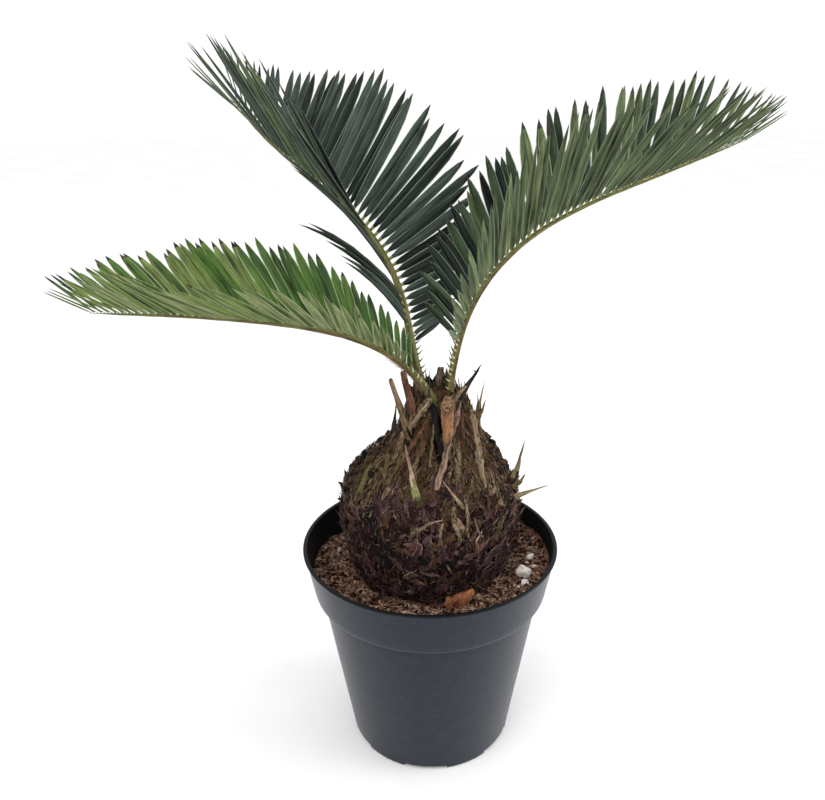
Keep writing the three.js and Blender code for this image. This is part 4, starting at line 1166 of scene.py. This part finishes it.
def leaflet_lines(name, line, side):
    """Each leaflet of a row: its root, its tip, the way it leaves the rachis, its face, length and
    width. The tip is where a leaflet that curls towards the rachis's forward would end."""
    frond = FRONDS[name]
    row = ROWS[name, side]
    first = frond["first"]
    count = round(frond["length"] * (1 - first) / LEAFLET_SPACING)
    u = first + (1 - first) * (np.arange(count) + 0.5 + 0.12 * side) / count
    place, forward, left, up = line_at(line, u)
    lift = np.radians(curve(row["lift"], u) + normal(0, 1.6 * row["loose"], count))
    angle = np.radians(curve(row["forward"], u) + normal(0, 1.3 * row["loose"], count))
    length = curve(row["leaflet"], u) * (1 + 0.045 * np.clip(normal(0, 1, count), -1.5, 1.2))
    way = (
        forward * column(np.cos(angle))
        + left * column(side * np.sin(angle) * np.cos(lift))
        + up * column(np.sin(angle) * np.sin(lift))
    )
    half = rachis_width(u) / 2
    root = place + left * column(side * half * 0.55) + up * column(half * 0.5)
    tip = root + column(length) * (way + unit(way + forward * frond["curl"])) / 2

    hug_from, hug_to = row.get("hugging", (1, 1))
    hugs = (u > hug_from) & (u < hug_to)
    beside = line_at(line, u + length / frond["length"] * uniform(0.85, 1.05, count))
    out = uniform(1.5, 5.5, count)
    below = uniform(-2.4, 1.6, count)
    hugging_tip = beside[0] + beside[2] * column(side * out) - beside[3] * column(below)
    chord = np.where(column(hugs), hugging_tip, tip) - root
    length = np.linalg.norm(chord, axis=-1)
    straight_way = unit(chord)
    arch = np.where(u < hug_to, row.get("arch", -frond["curl"] / 2), -frond["curl"] / 2)
    way = unit(straight_way + forward * column(arch))

    across = unit(forward - straight_way * column((forward * straight_way).sum(-1)))
    face = np.cross(straight_way, across)
    face = face * column(np.sign((face * up).sum(-1)))
    roll = np.radians(curve(row["roll"], u) + normal(0, 5, count))
    face = face * column(np.cos(roll)) + np.cross(face, way) * column(np.sin(roll))
    widest, slender = (FULL_LEAFLET_WIDTH, 0.1) if row["full"] else (LEAFLET_WIDTH, 0.075)
    width = np.minimum(widest, row["broad"] * LEAFLET_SPACING * np.sin(angle) + 0.2)
    width = np.minimum(width, slender * length + 1.3) * (1 - 0.6 * smooth(u, 0.78, 0.98))
    width = np.where(hugs, HUGGING_WIDTH, width)
    bend = chord - way * column(length)
    return dict(u=u, root=root, way=way, bend=bend, face=face, length=length, width=width)


def clear_of(points, others):
    """Whether each leaflet's points all keep clear of all the other points."""
    gaps = np.linalg.norm(points[:, :, None] - others[None, None], axis=-1)
    return gaps.min((1, 2)) > LEAFLET_CLEARANCE


def drawn(names, count):
    """Leaflet finishes drawn by lot from names."""
    return RANDOM.choice([LEAF[name] for name in names.split()], count)


def leaflet_slots(row, u):
    """The finish of each face: upper and under side, margins with a painted highlight, a pale
    foot, and a dry tip on some and on most near the tip of the frond."""
    count = len(u)
    high = random(count) < smooth(u, 0.25, 0.55)
    upper = np.where(high, drawn(row["upper"], count), drawn(row["upper_low"], count))
    under = np.where(high, drawn(row["under_high"], count), drawn(row["under_low"], count))
    # The margins' painted highlight is dimmer on the darker leaflets
    dim = np.isin(upper, [LEAF[name] for name in ("blue", "dark", "deep")])
    margin = np.where(dim, LEAF["dim_margin"], LEAF["margin"])
    slots = np.where(np.isin(SECTION_FACES, UNDER_FACES), under[:, None], upper[:, None])
    slots = np.where(np.isin(SECTION_FACES, MARGIN_FACES), margin[:, None], slots)
    slots = np.repeat(slots[:, None], len(LEAFLET_RINGS) - 1, 1)
    slots[random(count) < row["dry"], -1] = LEAF["tip"]
    slots[random(count) < 0.9 * smooth(u, 0.86, 0.98), -2:] = LEAF["tip"]
    slots[:, 0] = LEAF["foot"]
    return slots


def make_leaflets(name, line, taken):
    """The two rows of one frond, each leaflet a stiff blade with a crease, paler below than above.
    Leaflets that would meet the points that are taken are left out."""
    shapes = []
    for side in (1, -1):
        leaf = leaflet_lines(name, line, side)
        spines = bent(leaf["root"], leaf["way"], leaf["bend"], leaf["length"], np.linspace(0.1, 1, 6))
        keep = clear_of(spines, taken)
        leaf = {key: value[keep] for key, value in leaf.items()}
        taken = np.concatenate((taken, spines[keep].reshape(-1, 3)))
        row = ROWS[name, side]
        rings = LEAFLET_RINGS[:, (0, 2 if row["full"] else 1)]
        cup = uniform(0.4, 0.75, len(leaf["u"]))
        points = blades(leaf["root"], leaf["way"], leaf["face"], leaf["length"], leaf["width"], rings,
                        cup, 0.4, leaf["bend"], 0.03)
        slots = leaflet_slots(row, leaf["u"])
        shapes.append(swept(points, slots, leaf["width"] * 2, leaf["length"]))
    piece(f"frond_{name}_leaflets", shapes, frond_nodes(name), sharp=25)
    return taken


def make_teeth(name, line):
    """Sharp teeth down both edges of the stalk, below the first leaflets. The near edges of the left
    and right stalks have pale ones that stand up."""
    shapes = []
    frond = FRONDS[name]
    first = frond["first"] * frond["length"]
    for side in (1, -1):
        along = np.arange(4, first + 4, TOOTH_SPACING)
        along = along + normal(0, 0.4, len(along))
        u = along / frond["length"]
        place, forward, left, up = line_at(line, u)
        half = rachis_width(u) / 2
        root = place + left * column(side * half * 0.8) + up * column(half * 0.3)
        is_near = (name, side) in (("left", 1), ("right", -1))
        outward, upward, kind = (0.5, 0.9, "tooth_pale") if is_near else (1, 0.35, "tooth_dark")
        way = unit(left * side * outward + up * upward + forward * column(uniform(0.35, 0.8, len(u))))
        length = uniform(2.4, 3.8, len(u)) + 0.05 * along
        s = np.linspace(0, 1, 5)
        path = bent(root, way, 0.6 * forward, length, s)
        shapes.append(swept(rods(path, 0.55 * (1 - 0.95 * s) + 0.02, 5), SLOT[kind]))
    piece(f"frond_{name}_teeth", shapes)


def make_fronds():
    """The fronds one by one. Each keeps clear of the leaflets made before it and of the others'
    rachises."""
    lines = {name: rachis_line(frond) for name, frond in FRONDS.items()}
    taken = np.zeros((0, 3))
    for name, line in lines.items():
        make_rachis(name, line)
        others = [other["place"][::4] for key, other in lines.items() if key != name]
        before = np.concatenate((taken, *others))
        after = make_leaflets(name, line, before)
        taken = np.concatenate((taken, after[len(before):]))
        make_teeth(name, line)


def make_studio():
    """A pale floor under an even white sky, a soft key from the upper left and a fill from the right."""
    mesh = bpy.data.meshes.new("floor")
    mesh.from_pydata([(-6, -6, 0), (6, -6, 0), (6, 6, 0), (-6, 6, 0)], [], [(0, 1, 2, 3)])
    mesh.materials.append(MATERIALS[SLOT["pale_paper"]])
    floor = bpy.data.objects.new("floor", mesh)
    bpy.context.scene.collection.objects.link(floor)

    world = bpy.data.worlds.new("studio")
    bpy.context.scene.world = world
    world.use_nodes = True
    sky = world.node_tree.nodes["Background"]
    sky.inputs["Color"].default_value = (1, 1, 1, 1)
    sky.inputs["Strength"].default_value = 1.06

    for name, place, power, size in (
        ("key", (-0.6, -0.9, 1.5), 8, 1.0), ("fill", (1.4, -0.15, 0.6), 13, 0.9),
    ):
        light = bpy.data.lights.new(name, "AREA")
        light.energy = power
        light.size = size
        lamp = bpy.data.objects.new(name, light)
        bpy.context.scene.collection.objects.link(lamp)
        lamp.location = place
        aim = Vector(place) - Vector((0, 0, 0.2))
        lamp.rotation_euler = aim.to_track_quat("Z", "Y").to_euler()


def make_camera():
    """The photograph's camera, which looks along +Y and a little down."""
    data = bpy.data.cameras.new("camera")
    data.sensor_width = 36
    data.lens = 36 * FOCUS / PHOTO_WIDTH
    camera = bpy.data.objects.new("camera", data)
    bpy.context.scene.collection.objects.link(camera)
    tilt = Matrix.Rotation(math.radians(90 - CAMERA_DROP), 4, "X")
    roll = Matrix.Rotation(math.radians(CAMERA_ROLL), 4, "Z")
    camera.matrix_world = Matrix.Translation([c / 1000 for c in CAMERA_PLACE]) @ tilt @ roll
    bpy.context.scene.camera = camera
    bpy.context.scene.view_settings.view_transform = "Standard"


make_camera()
make_studio()
make_pot()
make_soil_bed()
make_crumbs()
make_perlite()
make_things_on_soil()
make_core()
make_flakes()
make_leaf_bases()
make_strips()
make_crown_husks()
make_sheaths()
make_fibres()
make_shoulder_crumbs()
make_stalks()
make_spikes()
make_husks()
make_fronds()
